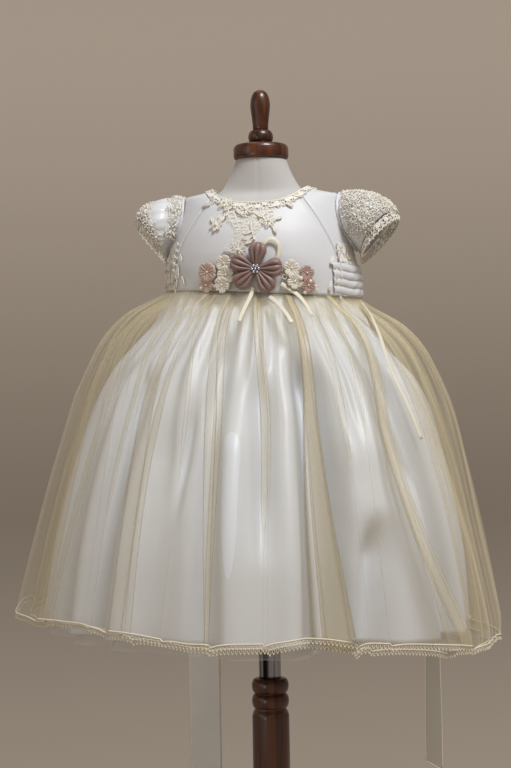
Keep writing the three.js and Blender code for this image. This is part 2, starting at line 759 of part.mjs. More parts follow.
// How far the folds and gathers move a layer out at a turn and a share of the drop.
function foldAt(layer, turn, drop) {
  let out = 0;
  for (const fold of FOLDS) {
    const middle = mix(fold.waist, fold.hem, drop);
    const away = Math.abs(THREE.MathUtils.euclideanModulo(turn - middle + 180, 360) - 180) / fold.half;
    out += fold.depth * Math.exp(-away * away);
  }
  const swell = THREE.MathUtils.smoothstep(drop, 0.02, 0.75);
  const uneven = 1 + 0.5 * Math.sin(rad(3 * turn + 40));
  const gather = layer.wave * uneven * Math.sin(rad(layer.waves * turn + 60 * Math.sin(rad(2 * turn))));
  return swell * (layer.share * out + gather);
}

function hemZ(layer, turn) {
  return layer.hem - layer.droop * Math.sin(rad(turn));
}

// A point on the outer face of a skirt layer.
function skirtPoint(layer, turn, z) {
  const drop = (WAIST_Z - z) / (WAIST_Z - hemZ(layer, turn));
  const wide = read(layer.profile, "z", z, "wide");
  const base = ovalPoint(wide, wide * roundness(z), turn, z);
  const out = new THREE.Vector3(Math.sin(rad(turn)), -Math.cos(rad(turn)), 0);
  base.addScaledVector(out, foldAt(layer, turn, drop));
  base.x -= SKIRT_SWAY * drop * drop;
  return base;
}

// A part of a layer between two turns, with rows from the waist to the hem.
function skirtGrid(layer, from, to) {
  const count = Math.round((layer.columns * (to - from)) / 360);
  return SKIRT_ROWS.map((share) =>
    steps(count).map((s) => {
      const turn = mix(from, to, s);
      return skirtPoint(layer, turn, mix(WAIST_Z, hemZ(layer, turn), share));
    }),
  );
}

function addSkirt() {
  const look = {
    petticoat: COLOUR.net,
    satin_skirt: COLOUR.satin,
    inner_tulle: COLOUR.tulle,
    outer_tulle: COLOUR.tulle,
  };
  const seamTurn = 0.15;
  for (const [name, layer] of Object.entries(LAYERS)) {
    const front = skirtGrid(layer, -90 + seamTurn, 90 - seamTurn);
    const back = skirtGrid(layer, 90 + seamTurn, 270 - seamTurn);
    add(name + "_front", wall(front, SKIRT_WALL), look[name], 0.6);
    add(name + "_back", wall(back, SKIRT_WALL), look[name], 0.6);
  }
  addHemLace("hem_lace_inner", LAYERS.inner_tulle);
  addHemLace("hem_lace_outer", LAYERS.outer_tulle);
}

// Narrow picot lace sewn below a tulle's hem.
function addHemLace(name, layer) {
  const ring = (below) =>
    steps(layer.columns)
      .slice(0, -1)
      .map((s) => {
        const turn = 360 * s;
        const point = skirtPoint(layer, turn, hemZ(layer, turn));
        point.z -= below;
        return point;
      });
  const grid = [ring(SEAM_GAP), ring(SEAM_GAP + HEM_LACE_DEPTH)];
  add(name, wall(grid, SKIRT_WALL, true), COLOUR.lace, 0.8);
}

// ---------- Sash ----------

// Horizontal pleats: how far the sash's face moves out at a share of its height.
const pleat = (share) => SASH.foldDeep * Math.abs(Math.sin(Math.PI * SASH.folds * share));

function sashGrid(from, to, count, narrowAt) {
  return steps(8).map((v) =>
    steps(count).map((s) => {
      const turn = mix(from, to, s);
      const height = SASH.high - SASH.low;
      const pinch = 0.22 * height * narrowAt(turn);
      const z = mix(SASH.high - pinch, SASH.low + pinch, v);
      const out = new THREE.Vector3(Math.sin(rad(turn)), -Math.cos(rad(turn)), 0);
      return bodicePoint(turn, z).addScaledVector(out, SASH.stand + pleat(v));
    }),
  );
}

function addSash() {
  const thick = 1.4;
  const nearKnot = (turn) => 1 - THREE.MathUtils.clamp(Math.abs(turn - 180) / 60, 0, 1);
  add("sash_front_right", wall(sashGrid(50, 89.6, 4, () => 0), thick), COLOUR.satin, 0.45);
  add("sash_back_right", wall(sashGrid(90.4, 169, 6, nearKnot), thick), COLOUR.satin, 0.45);
  add("sash_back_left", wall(sashGrid(191, 269.6, 6, nearKnot), thick), COLOUR.satin, 0.45);
  const middle = bodicePoint(180, 637.5);
  const sections = steps(5).map((s) => {
    const across = 2 * s - 1;
    const swell = Math.sqrt(Math.max(1 - 0.82 * across * across, 0.1));
    return steps(10)
      .slice(0, -1)
      .map((t) => {
        const turn = 2 * Math.PI * t;
        const y = middle.y + 12.5 + 7.5 * swell * Math.cos(turn);
        const z = middle.z + 13 * swell * Math.sin(turn);
        return new THREE.Vector3(14 * across, y, z);
      });
  });
  add("sash_knot", loft(sections), COLOUR.satin, 0.45);
}

// A sash tail that lies on the outer tulle from below the knot and hangs free past the hem.
function addTail(name, tail, colour) {
  const layer = LAYERS.outer_tulle;
  const hem = hemZ(layer, tail.hemTurn);
  const lying = steps(9).map((s) => mix(TAIL_TOP_Z, hem + 4, s ** 1.2));
  const hanging = steps(5).slice(1).map((s) => mix(hem + 4, tail.end, s));
  const rows = [...lying, ...hanging].map((z) => {
    const drop = Math.min((TAIL_TOP_Z - z) / (TAIL_TOP_Z - hem), 1);
    const turn = mix(tail.waistTurn, tail.hemTurn, Math.sqrt(drop));
    const onCloth = Math.max(z, hem + 4);
    const centre = skirtPoint(layer, turn, onCloth);
    const out = new THREE.Vector3(Math.sin(rad(turn)), -Math.cos(rad(turn)), 0);
    const side = new THREE.Vector3(-out.y, out.x, 0);
    const near = 13;
    const crest = [-1, -0.5, 0, 0.5, 1].map((u) => {
      const p = skirtPoint(layer, turn + THREE.MathUtils.radToDeg((u * tail.wide) / 2 / centre.length()), onCloth);
      return p.sub(centre).dot(out);
    });
    const stand = tail.stand + Math.max(...crest) + near * 0.1;
    centre.z = z;
    return [1, 0, -1].map((u) =>
      centre.clone().addScaledVector(side, (-u * tail.wide) / 2).addScaledVector(out, stand),
    );
  });
  add(name, wall(rows.map((line) => line.reverse()), SKIRT_WALL), colour, 0.5);
}

// ---------- Flower, blossoms and ribbons ----------

// The frontmost surface at an X and a height: the bodice, or the outer tulle below the waist.
function frontPoint(x, z) {
  if (z >= BODICE_LOW) return bodicePoint(turnAt(x, z), z);
  const wide = read(OUTER_TULLE, "z", z, "wide");
  const turn = THREE.MathUtils.radToDeg(Math.asin(x / wide));
  return skirtPoint(LAYERS.outer_tulle, turn, z);
}

function addFlower() {
  const seat = -read(BODICE, "z", FLOWER.z, "deep") - FLOWER.gap;
  const sides = 8;
  PETAL_TURNS.forEach((turn, i) => {
    const out = new THREE.Vector3(Math.cos(rad(turn)), 0, Math.sin(rad(turn)));
    const side = new THREE.Vector3(-Math.sin(rad(turn)), 0, Math.cos(rad(turn)));
    const sections = PETAL.map((row) =>
      steps(sides)
        .slice(0, -1)
        .map((s) => {
          const across = (row.wide / 2) * Math.cos(2 * Math.PI * s);
          const ahead = (row.thick / 2) * (1 + Math.sin(2 * Math.PI * s));
          return new THREE.Vector3(FLOWER.x, seat - ahead - 2.4, FLOWER.z)
            .addScaledVector(out, row.out)
            .addScaledVector(side, across);
        }),
    );
    add("flower_petal_" + (i + 1), loft(sections), COLOUR.mauve, 0.5);
  });
  const centre = [[0, 0], [3.4, 0.2], [3.4, 3.6], [2, 5.4], [0, 6]];
  const stone = turned(centre, 12).rotateX(Math.PI / 2).translate(FLOWER.x, seat - 2.8, FLOWER.z);
  add("flower_centre", stone, COLOUR.crystal, 0.1);
}

// A closed mesh as a solid, and back, so that overlapping petals become one piece.
function solidOf(geometry) {
  const bare = geometry.clone();
  bare.deleteAttribute("normal");
  bare.deleteAttribute("uv");
  const merged = mergeVertices(bare, 1e-3);
  const mesh = new wasm.Mesh({
    numProp: 3,
    vertProperties: merged.getAttribute("position").array,
    triVerts: new Uint32Array(merged.index.array),
  });
  return new wasm.Manifold(mesh);
}

function geometryOf(solid) {
  const mesh = solid.getMesh();
  const geometry = new THREE.BufferGeometry();
  geometry.setAttribute("position", new THREE.BufferAttribute(mesh.vertProperties, 3));
  geometry.setIndex(new THREE.BufferAttribute(mesh.triVerts, 1));
  return geometry;
}

// A flat blossom with five round lobes, facing along the bodice's normal.
function blossom(x, z, r, lift) {
  const shape = new THREE.Shape();
  const points = 20;
  for (let i = 0; i <= points; i++) {
    const turn = (2 * Math.PI * i) / points;
    const reach = r * (0.8 + 0.2 * Math.abs(Math.cos(2.5 * turn)));
    shape[i ? "lineTo" : "moveTo"](reach * Math.cos(turn), reach * Math.sin(turn));
  }
  const disc = new THREE.ExtrudeGeometry(shape, { depth: BLOSSOM_THICK, bevelEnabled: false });
  const turn = turnAt(x, z);
  const at = bodicePoint(turn, z);
  const out = new THREE.Vector3(Math.sin(rad(turn)), -Math.cos(rad(turn)), 0);
  const faced = disc.rotateX(Math.PI / 2).rotateZ(rad(turn));
  return faced.translate(at.x + out.x * lift, at.y + out.y * lift, z);
}

function addBlossoms() {
  const tint = (name) => (name.includes("cream") ? "cream" : name.includes("pink") ? "pink" : "mauve");
  for (const [name, discs] of Object.entries(BLOSSOMS)) {
    const solids = discs.map((d, i) => solidOf(blossom(d.x, d.z, d.r, 2.6 + 0.7 * i)));
    const whole = solids.reduce((a, b) => a.add(b));
    add(name, geometryOf(whole), COLOUR[tint(name)], 0.6);
  }
  for (const [name, pearl] of Object.entries(PEARLS)) {
    const at = frontPoint(pearl.x, pearl.z);
    const turn = rad(turnAt(pearl.x, pearl.z));
    const ball = new THREE.SphereGeometry(pearl.r, 8, 6);
    ball.translate(at.x + 5.5 * Math.sin(turn), at.y - 5.5 * Math.cos(turn), pearl.z);
    add(name, ball, COLOUR.pearl, 0.25);
  }
}

// A narrow ribbon along points of the surface it lies on: a wall that follows their run.
function ribbon(run, outs, wide) {
  const grid = run.map((p, i) => {
    const along = run[Math.min(i + 1, run.length - 1)].clone().sub(run[Math.max(i - 1, 0)]);
    const side = new THREE.Vector3().crossVectors(outs[i], along).normalize();
    return [-1, 1].map((u) => p.clone().addScaledVector(side, (u * wide) / 2));
  });
  return wall(grid, SKIRT_WALL);
}

function addRibbons() {
  for (const [name, rows] of Object.entries(RIBBONS)) {
    const curve = new THREE.CatmullRomCurve3(rows.map((row) => new THREE.Vector3(row.x, 0, row.z)));
    const flat = curve.getSpacedPoints(10);
    const outs = flat.map((p) => {
      const turn = turnAt(p.x, Math.max(p.z, BODICE_LOW));
      return new THREE.Vector3(Math.sin(rad(turn)), -Math.cos(rad(turn)), 0.25).normalize();
    });
    const run = flat.map((p, i) => frontPoint(p.x, p.z).addScaledVector(outs[i], 3));
    add(name, ribbon(run, outs, RIBBON_WIDE), COLOUR.satin, 0.4);
  }
  const curve = new THREE.CatmullRomCurve3(WAIST_RIBBON.map((row) => new THREE.Vector3(row.turn, 0, row.z)));
  const flat = curve.getPoints(12);
  const outs = flat.map((p) => new THREE.Vector3(Math.sin(rad(p.x)), -Math.cos(rad(p.x)), 0.4).normalize());
  const run = flat.map((p, i) => skirtPoint(LAYERS.outer_tulle, p.x, p.z).addScaledVector(outs[i], 3));
  add("waist_ribbon_right", ribbon(run, outs, RIBBON_WIDE), COLOUR.satin, 0.4);
}

addTorso();
addStand();
addBodice();
addBackPlacket();
addNecklineLace();
addLaceMotif();
addSideLace();
addSleeves();
addSkirt();
addSash();
addTail("sash_tail_satin", SATIN_TAIL, COLOUR.satin);
addTail("sash_tail_organza", ORGANZA_TAIL, COLOUR.tulle);
addFlower();
addBlossoms();
addRibbons();

export default group;
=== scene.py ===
# A child's christening gown on a limbless dress form: its looks, built round the packed model.
# The tables and the functions that shape the cloth are in millimetres, with each turn in
# degrees from the front towards +X. Every mesh, light and setting in Blender is in metres.
import math

import bmesh
import bpy
import numpy as np
from bpy.props import FloatProperty, FloatVectorProperty, IntProperty, PointerProperty
from mathutils import Matrix, Vector


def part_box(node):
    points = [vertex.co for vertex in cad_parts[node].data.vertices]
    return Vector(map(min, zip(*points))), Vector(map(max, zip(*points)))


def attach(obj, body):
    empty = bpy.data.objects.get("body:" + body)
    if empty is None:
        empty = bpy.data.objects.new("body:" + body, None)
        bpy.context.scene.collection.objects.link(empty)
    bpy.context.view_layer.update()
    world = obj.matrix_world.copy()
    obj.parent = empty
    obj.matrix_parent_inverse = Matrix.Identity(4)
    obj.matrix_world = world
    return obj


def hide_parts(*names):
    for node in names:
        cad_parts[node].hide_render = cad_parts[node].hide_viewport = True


bl_info = {
    "name": "Christening Gown",
    "version": (1, 0, 0),
    "blender": (4, 5, 0),
    "location": "View3D > Sidebar > Gown",
    "description": "Makes a christening gown on its dress form, piece by piece, and a plain studio",
    "category": "Object",
}

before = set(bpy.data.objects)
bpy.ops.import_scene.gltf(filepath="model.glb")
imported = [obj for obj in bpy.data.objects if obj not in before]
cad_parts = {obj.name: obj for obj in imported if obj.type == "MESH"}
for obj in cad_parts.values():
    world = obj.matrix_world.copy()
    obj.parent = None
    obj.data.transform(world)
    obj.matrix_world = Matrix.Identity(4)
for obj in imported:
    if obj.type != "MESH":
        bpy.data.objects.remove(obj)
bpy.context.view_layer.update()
MM = 0.001

# ---------- Sizes of the gown, as in the model's source ----------

WAIST_Z = 618
UNDERARM_Z = 660
SHOULDER_TIP = (77, 717)
NECK_SIDE = (48, 724)
NECK_FRONT_Z = 706
NECK_BACK_Z = 716
ARMHOLE_CUT = 22
NECKLINE_POWER = 3
SEAM_GAP = 0.3
BODICE_LOW = WAIST_Z + SEAM_GAP
SKIRT_SWAY = 9

# Bodice: height, half-width, half-depth.
BODICE = [
    (618, 97, 74),
    (640, 96.5, 75.5),
    (655, 93.5, 75),
    (675, 88, 70.5),
    (690, 83.5, 63.5),
    (705, 79.5, 54),
    (713, 78, 46),
    (717, 77, 40),
    (720, 64.6, 35.5),
    (724, 48, 30),
]
# Princess seam: height, distance from the middle.
PRINCESS_SEAM = [(618, 84), (640, 82.5), (654, 79), (672, 71), (690, 60.5), (705, 50), (717, 41)]
# Dress form: height, half-width, half-depth.
TORSO = [
    (468, 78, 60),
    (471, 84, 66),
    (478, 88, 69.5),
    (500, 90, 70),
    (560, 90.5, 69),
    (600, 90, 67.5),
    (618, 90, 67.5),
    (640, 91, 69.5),
    (655, 89, 70),
    (675, 83, 65.5),
    (690, 78.5, 58.5),
    (705, 74, 47),
    (711, 70.5, 38.5),
    (715, 61, 31),
    (718, 50, 26),
    (723, 41, 25),
    (733, 34, 25),
    (743, 29, 25),
    (754, 25, 24.5),
]
# Skirt layers: height, half-width.
PETTICOAT = [
    (618, 93), (605, 94), (590, 97), (565, 116), (537, 137.5),
    (500, 156), (436, 176.5), (368, 191.5), (296, 201), (284, 206),
]
SATIN_SKIRT = [
    (618, 94.4), (605, 97), (590, 103), (565, 123), (537, 145),
    (500, 164), (436, 184.5), (368, 199.5), (294, 209),
]
INNER_TULLE = [
    (618, 95.8), (608, 103.4), (594, 122), (574, 143), (554, 156),
    (514, 173), (454, 193), (394, 208), (334, 221), (290, 229),
]
OUTER_TULLE = [
    (618, 97.7), (608, 113), (594, 136.5), (574, 157), (554, 169.5),
    (514, 187.5), (454, 204), (394, 218.5), (334, 233), (300, 241),
]
# The large folds that every layer shares: turn at the waist and at the hem, half-width in
# degrees, depth.
SHARED_FOLDS = [
    (-24, -14, 9, -7),
    (-58, -40, 11, -6),
    (-2, 2, 8, -5),
    (18, 19, 10, -12),
    (50, 58, 15, 9),
    (84, 80, 12, -6),
    (-92, -96, 18, 6),
    (-128, -124, 11, -7),
    (-158, -152, 10, -5),
    (172, 176, 11, -8),
    (146, 148, 12, 6),
    (118, 114, 10, -7),
]
# Lace motif on the centre front: height, middle, half-width.
MOTIF = [(652, -14, 6), (664, -13, 8), (678, -6, 12), (690, -4, 24), (699, -6, 25)]
LAYERS = {
    "petticoat": dict(profile=PETTICOAT, share=0.3, hem=284, droop=2),
    "satin": dict(profile=SATIN_SKIRT, share=0.4, hem=294, droop=3),
    "inner": dict(profile=INNER_TULLE, share=0.8, hem=296, droop=9),
    "outer": dict(profile=OUTER_TULLE, share=1.0, hem=305, droop=7),
}
# Cap sleeve, from the armhole to its hem: ring, top x, top z, middle x, low x, low z, reach to
# front and back, how much higher the front is than the back.
SLEEVE = [
    (0, 79, 718, 80, 95, 661, 22, 0),
    (1, 85, 718.6, 86, 95.6, 659.8, 30, 1),
    (2, 98, 718.2, 94, 96.2, 659, 38, 3),
    (3, 112, 714.5, 102, 96.8, 658.2, 41, 5),
    (4, 124, 707.5, 107.5, 97.2, 657.6, 40.5, 7),
    (5, 131, 699, 111, 97.6, 657, 38, 9),
]
SLEEVE_CLEAR = 1
SLEEVE_LACE_REACH = 9
FLOWER = (4, 640)
SASH_LOW, SASH_HIGH, SASH_STAND = 620, 650, 4
SATIN_TAIL = dict(wide=35, waist=189, hem=203, end=78, stand=3)
ORGANZA_TAIL = dict(wide=17, waist=171, hem=139, end=108, stand=3)
TAIL_TOP_Z = 622
RIBBON_WIDE = 4
# How much lower the gown hangs at its right side, for each millimetre from the middle: by height.
LEAN = [(90, 0), (300, 0.018), (618, 0.06), (640, 0.055), (700, 0)]
# How far the outer and the inner tulle's hem hang above or below their even line, by turn.
HEM_SWING = [
    (-180, 2), (-150, -3), (-120, 3), (-98, -2), (-77, -6), (-36, 1.5), (-21, -1), (-8.5, -5.5), (9, -2),
    (18, 3), (24, 2.5), (29, 0), (40, -2), (61, -8), (80, -12), (98, -15), (115, -12), (135, -5), (155, 3), (180, 2),
]
# Narrow ribbons at the front by x and z.
RIBBONS = {
    "flower_ribbon_loop": [(8, 653.5), (11, 664), (18, 668.5), (25, 663), (24.5, 653), (20.5, 646.5)],
    "flower_tail_left": [(0.5, 621.5), (-1.5, 612), (-5, 600), (-8, 588)],
    "flower_tail_middle": [(16, 613.5), (22, 609), (28.5, 603), (35, 596), (40, 589)],
    "flower_tail_right": [(26.5, 626.5), (34, 621.5), (43, 615), (51, 606), (57, 597)],
}
# The ribbon from under the sash, by turn and z on the outer tulle.
WAIST_RIBBON = [(61, 611), (51.5, 592), (47.5, 568), (47, 542), (48.3, 515), (50.5, 480)]

# ---------- Shape functions, in millimetres ----------


def smooth(value, low, high):
    share = np.clip((np.asarray(value, float) - low) / (high - low), 0, 1)
    return share * share * (3 - 2 * share)


def mix(first, last, share):
    return first + (last - first) * share


def read(rows, at, column=1):
    """A table's column at the keys `at`, on a smooth curve through its rows."""
    rows = sorted(rows)
    keys = np.array([row[0] for row in rows], float)
    values = np.array([row[column] for row in rows], float)
    at = np.asarray(at, float)
    low = np.clip(np.searchsorted(keys, at, side="right") - 1, 0, len(keys) - 2)
    high = low + 1
    before = np.maximum(low - 1, 0)
    after = np.minimum(high + 1, len(keys) - 1)
    span = keys[high] - keys[low]
    share = np.clip((at - keys[low]) / span, 0, 1)
    steep = (values[high] - values[low]) / span

    def slope(first, last):
        mean = (values[last] - values[first]) / (keys[last] - keys[first])
        return np.sign(steep) * np.minimum(np.abs(mean), 2 * np.abs(steep)) * span

    square, cube = share**2, share**3
    start = values[low] * (2 * cube - 3 * square + 1) + slope(before, high) * (cube - 2 * square + share)
    return start + values[high] * (3 * square - 2 * cube) + slope(low, after) * (cube - square)


def oval(wide, deep, turn, z):
    wide, deep, angle, z = np.broadcast_arrays(wide, deep, np.radians(turn), z)
    return np.stack([wide * np.sin(angle), -deep * np.cos(angle), z], -1)


def outward(turn):
    angle = np.radians(turn)
    return np.stack([np.sin(angle), -np.cos(angle), np.zeros_like(angle)], -1)


def bodice_point(turn, z):
    return oval(read(BODICE, z, 1), read(BODICE, z, 2), turn, z)


def turn_at(x, z):
    """The turn at which the bodice is `x` from the middle at a height."""
    return np.degrees(np.arcsin(np.clip(np.asarray(x, float) / read(BODICE, z, 1), -1, 1)))


def neckline_z(x, middle, spread=0):
    side = NECK_SIDE[0] + spread
    fall = (NECK_SIDE[1] - SHOULDER_TIP[1]) / (SHOULDER_TIP[0] - NECK_SIDE[0])
    low = middle - spread
    top = NECK_SIDE[1] - spread * fall
    return low + (top - low) * np.minimum(np.abs(x) / side, 1) ** NECKLINE_POWER


def edge_turn(z):
    """The turn of the bodice's outer edge: its side seam, then its armhole."""
    share = np.clip((z - UNDERARM_Z) / (SHOULDER_TIP[1] - UNDERARM_Z), 0, 1)
    cut = ARMHOLE_CUT * np.sin(np.pi * share)
    return 90 - np.degrees(np.arcsin(cut / read(BODICE, z, 2)))


def tilted(points):
    """The gown hangs a little lower at its right side, most of all at the waist."""
    points = np.array(points, float)
    lean = np.interp(points[..., 2], *np.transpose(LEAN))
    points[..., 2] -= lean * points[..., 0]
    return points


def bodice_x(y, z):
    """How far out the bodice is at a depth and a height."""
    share = np.minimum(np.abs(y) / read(BODICE, z, 2), 1)
    return np.where(z > SHOULDER_TIP[1], 0, read(BODICE, z, 1) * np.sqrt(1 - share * share))


def roundness(z):
    return mix(0.762, 0.95, smooth(WAIST_Z - np.asarray(z, float), 0, 260))


def away_from(turn, middle):
    """Degrees from `middle` to `turn`, the short way round."""
    return (np.asarray(turn, float) - middle + 180) % 360 - 180


def shared_fold(turn, drop):
    """How far the large folds move the skirt out at a turn and a share of its drop."""
    out = 0
    for waist, hem, half, depth in SHARED_FOLDS:
        out = out + depth * np.exp(-((away_from(turn, mix(waist, hem, drop)) / half) ** 2))
    return smooth(drop, 0.02, 0.75) * out


def hem_z(layer, turn):
    return layer["hem"] - layer["droop"] * np.sin(np.radians(turn))


def skirt_point(layer, turn, z, out=0):
    """A point on a skirt layer, moved out by `out` beyond the large folds."""
    drop = (WAIST_Z - z) / (WAIST_Z - hem_z(layer, turn))
    wide = read(layer["profile"], z)
    point = oval(wide, wide * roundness(z), turn, z)
    reach = layer["share"] * shared_fold(turn, drop) + out
    point = point + outward(turn + 0 * z) * np.asarray(reach)[..., None]
    point[..., 0] -= SKIRT_SWAY * drop * drop
    return point


def front_point(x, z):
    """The frontmost cloth at an x and a z: the bodice, or the outer tulle below the waist."""
    if z >= BODICE_LOW:
        return bodice_point(turn_at(x, z), z)
    turn = np.degrees(np.arcsin(x / read(OUTER_TULLE, z)))
    return skirt_point(LAYERS["outer"], turn, z)


def grid_normals(grid, ring=False):
    if ring:
        right, left = np.roll(grid, -1, 1), np.roll(grid, 1, 1)
    else:
        right = np.concatenate([grid[:, 1:], grid[:, -1:]], 1)
        left = np.concatenate([grid[:, :1], grid[:, :-1]], 1)
    above = np.concatenate([grid[:1], grid[:-1]])
    below = np.concatenate([grid[1:], grid[-1:]])
    normal = np.cross(right - left, above - below)
    return normal / np.maximum(np.linalg.norm(normal, axis=-1, keepdims=True), 1e-9)


def raised(grid, by, ring=False):
    """A grid moved out of its own surface by a distance or a grid of distances."""
    return grid + grid_normals(grid, ring) * np.asarray(by, float)[..., None]


def spline(points, count):
    """`count` points evenly spaced along a smooth curve through the given ones."""
    given = np.array(points, float)
    padded = np.concatenate([2 * given[:1] - given[1:2], given, 2 * given[-1:] - given[-2:-1]])
    fine = []
    for i in range(len(given) - 1):
        before, start, end, after = padded[i : i + 4]
        for t in np.linspace(0, 1, 24, endpoint=False):
            fine.append(
                0.5 * (2 * start + (end - before) * t + (2 * before - 5 * start + 4 * end - after) * t**2
                       + (3 * start - before - 3 * end + after) * t**3)
            )
    fine = np.array([*fine, given[-1]])
    run = np.concatenate([[0], np.cumsum(np.linalg.norm(np.diff(fine, axis=0), axis=1))])
    at = np.linspace(0, run[-1], count)
    return np.stack([np.interp(at, run, fine[:, k]) for k in range(fine.shape[1])], -1)


# ---------- Making meshes ----------


class Form:
    """Points and faces in millimetres, gathered from several shapes into one mesh."""

    def __init__(self):
        self.points = []
        self.faces = []

    def add(self, points, faces):
        start = len(self.points)
        self.points.extend(np.asarray(points, float).reshape(-1, 3).tolist())
        self.faces.extend([start + i for i in face] for face in faces)
        return self

    def add_grid(self, grid, ring=False, caps=False):
        rows, columns = grid.shape[:2]
        steps = columns if ring else columns - 1
        faces = [
            (r * columns + c, (r + 1) * columns + c, (r + 1) * columns + (c + 1) % columns, r * columns + (c + 1) % columns)
            for r in range(rows - 1)
            for c in range(steps)
        ]
        if caps:
            faces.append(tuple(range(columns)))
            faces.append(tuple((rows - 1) * columns + c for c in reversed(range(columns))))
        return self.add(grid, faces)

    def add_tube(self, path, radius, sides=8, closed=False):
        """A round tube along points. `radius` is one number or one for each point."""
        path = np.asarray(path, float)
        radius = np.broadcast_to(radius, len(path))
        if closed:
            along = np.roll(path, -1, 0) - np.roll(path, 1, 0)
        else:
            along = np.gradient(path, axis=0)
        along = along / np.maximum(np.linalg.norm(along, axis=1, keepdims=True), 1e-9)
        first = np.cross(along[0], [0.3, 0.2, 0.93])
        across = first / np.linalg.norm(first)
        rings = []
        for point, way, size in zip(path, along, radius):
            across = across - way * (across @ way)
            across = across / np.linalg.norm(across)
            other = np.cross(way, across)
            turn = 2 * np.pi * np.arange(sides) / sides
            rings.append(point + size * (np.outer(np.cos(turn), across) + np.outer(np.sin(turn), other)))
        if closed:
            rings.append(rings[0])
        return self.add_grid(np.array(rings)[::-1], ring=True, caps=not closed)

    def add_ball(self, centre, radius, sides=10, rings=7, squash=1.0, axis=(0, 0, 1)):
        axis = np.array(axis, float) / np.linalg.norm(axis)
        side = np.cross(axis, [0.31, 0.95, 0.05])
        side = side / np.linalg.norm(side)
        other = np.cross(axis, side)
        tilt = np.linspace(0.02, np.pi - 0.02, rings)
        turn = 2 * np.pi * np.arange(sides) / sides
        flat = np.outer(np.cos(turn), side) + np.outer(np.sin(turn), other)
        grid = [np.array(centre) + radius * (math.sin(t) * flat + squash * math.cos(t) * axis) for t in tilt]
        return self.add_grid(np.array(grid), ring=True, caps=True)

    def made(self, name, outside=False):
        """The form as a new object, in metres."""
        mesh = bpy.data.meshes.new(name)
        mesh.from_pydata((np.array(self.points) * MM).tolist(), [], self.faces)
        if outside:
            shape = bmesh.new()
            shape.from_mesh(mesh)
            bmesh.ops.remove_doubles(shape, verts=shape.verts, dist=1e-6)
            bmesh.ops.recalc_face_normals(shape, faces=shape.faces)
            shape.to_mesh(mesh)
            shape.free()
        mesh.shade_smooth()
        return placed(name, mesh)


def placed(name, mesh):
    made = bpy.data.objects.new(name, mesh)
    bpy.context.scene.collection.objects.link(made)
    return made


def cloth(name, grid, ring=False, thick=0.0, reference=-1):
    """A cloth from a grid of points in millimetres: rows from the top down, columns to the right
    as seen from outside. Its UV map is in metres along and down the cloth."""
    rows, columns = grid.shape[:2]
    if ring:
        grid = np.concatenate([grid, grid[:, :1]], 1)
    across = np.linalg.norm(np.diff(grid[reference], axis=0), axis=1)
    u = np.concatenate([[0], np.cumsum(across)]) * MM
    down = np.linalg.norm(np.diff(grid, axis=0), axis=2).mean(1)
    v = np.concatenate([[0], np.cumsum(down)]) * MM
    steps = columns if ring else columns - 1
    r, c = np.meshgrid(np.arange(rows - 1), np.arange(steps), indexing="ij")
    corner_rows = np.stack([r, r + 1, r + 1, r], -1).reshape(-1, 4)
    corner_columns = np.stack([c, c, c + 1, c + 1], -1).reshape(-1, 4)
    faces = corner_rows * columns + corner_columns % columns
    mesh = bpy.data.meshes.new(name)
    points = grid[:, :columns].reshape(-1, 3) * MM
    mesh.from_pydata(points.tolist(), [], faces.tolist())
    layer = mesh.uv_layers.new(name="cloth")
    uv = np.stack([u[corner_columns.ravel()], -v[corner_rows.ravel()]], -1)
    layer.data.foreach_set("uv", uv.astype(np.float32).ravel())
    mesh.shade_smooth()
    made = placed(name, mesh)
    if thick:
        wall = made.modifiers.new("wall", "SOLIDIFY")
        wall.thickness = thick * MM
        wall.offset = -1
    return made


def finished(made, finish_name, slot, *nodes):
    """Gives a piece its finish and body, and lets it stand for its model nodes."""
    made.data.materials.clear()
    made.data.materials.append(finish(finish_name))
    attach(made, "root")
    if nodes:
        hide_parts(*nodes)
    return made


def evaluated(made, name):
    """A plain mesh object of what the modifiers make, in place of the object that had them."""
    bpy.context.view_layer.update()
    graph = bpy.context.evaluated_depsgraph_get()
    mesh = bpy.data.meshes.new_from_object(made.evaluated_get(graph))
    mesh.name = name
    bpy.data.objects.remove(made)
    mesh.shade_smooth()
    return placed(name, mesh)


# ---------- Geometry Nodes ----------


def joined(tree, links):
    """Joins nodes, each link as a node, its output, the next node and its input."""
    for source, output, target, given in links:
        tree.links.new(source.outputs[output], target.inputs[given])


def once(name):
    """Makes a node tree the first time that it is asked for, and finds it after that."""
    return lambda make: lambda: bpy.data.node_groups.get(name) or make(name)


def new_tree(name, inputs):
    """A geometry node tree with named inputs, and its group input and output nodes."""
    tree = bpy.data.node_groups.new(name, "GeometryNodeTree")
    tree.interface.new_socket(name="Geometry", in_out="INPUT", socket_type="NodeSocketGeometry")
    for label, kind in inputs:
        tree.interface.new_socket(name=label, in_out="INPUT", socket_type="NodeSocket" + kind)
    tree.interface.new_socket(name="Geometry", in_out="OUTPUT", socket_type="NodeSocketGeometry")
    return tree, tree.nodes.new("NodeGroupInput"), tree.nodes.new("NodeGroupOutput")


def fill_inputs(modifier, values):
    """Sets a modifier's inputs by their sockets' identifiers."""
    for item in modifier.node_group.interface.items_tree:
        if item.in_out == "INPUT" and item.name in values:
            modifier[item.identifier] = values[item.name]


def place_form(tree, given, out, instance):
    """Puts the given form on the points of `instance`, made real and with its finish."""
    form = tree.nodes.new("GeometryNodeObjectInfo")
    realize = tree.nodes.new("GeometryNodeRealizeInstances")
    finish = tree.nodes.new("GeometryNodeSetMaterial")
    joined(tree, [
        (given, "Form", form, "Object"),
        (form, "Geometry", instance, "Instance"),
        (instance, "Instances", realize, "Geometry"),
        (realize, "Geometry", finish, "Geometry"),
        (given, "Finish", finish, "Material"),
        (finish, "Geometry", out, "Geometry"),
    ])


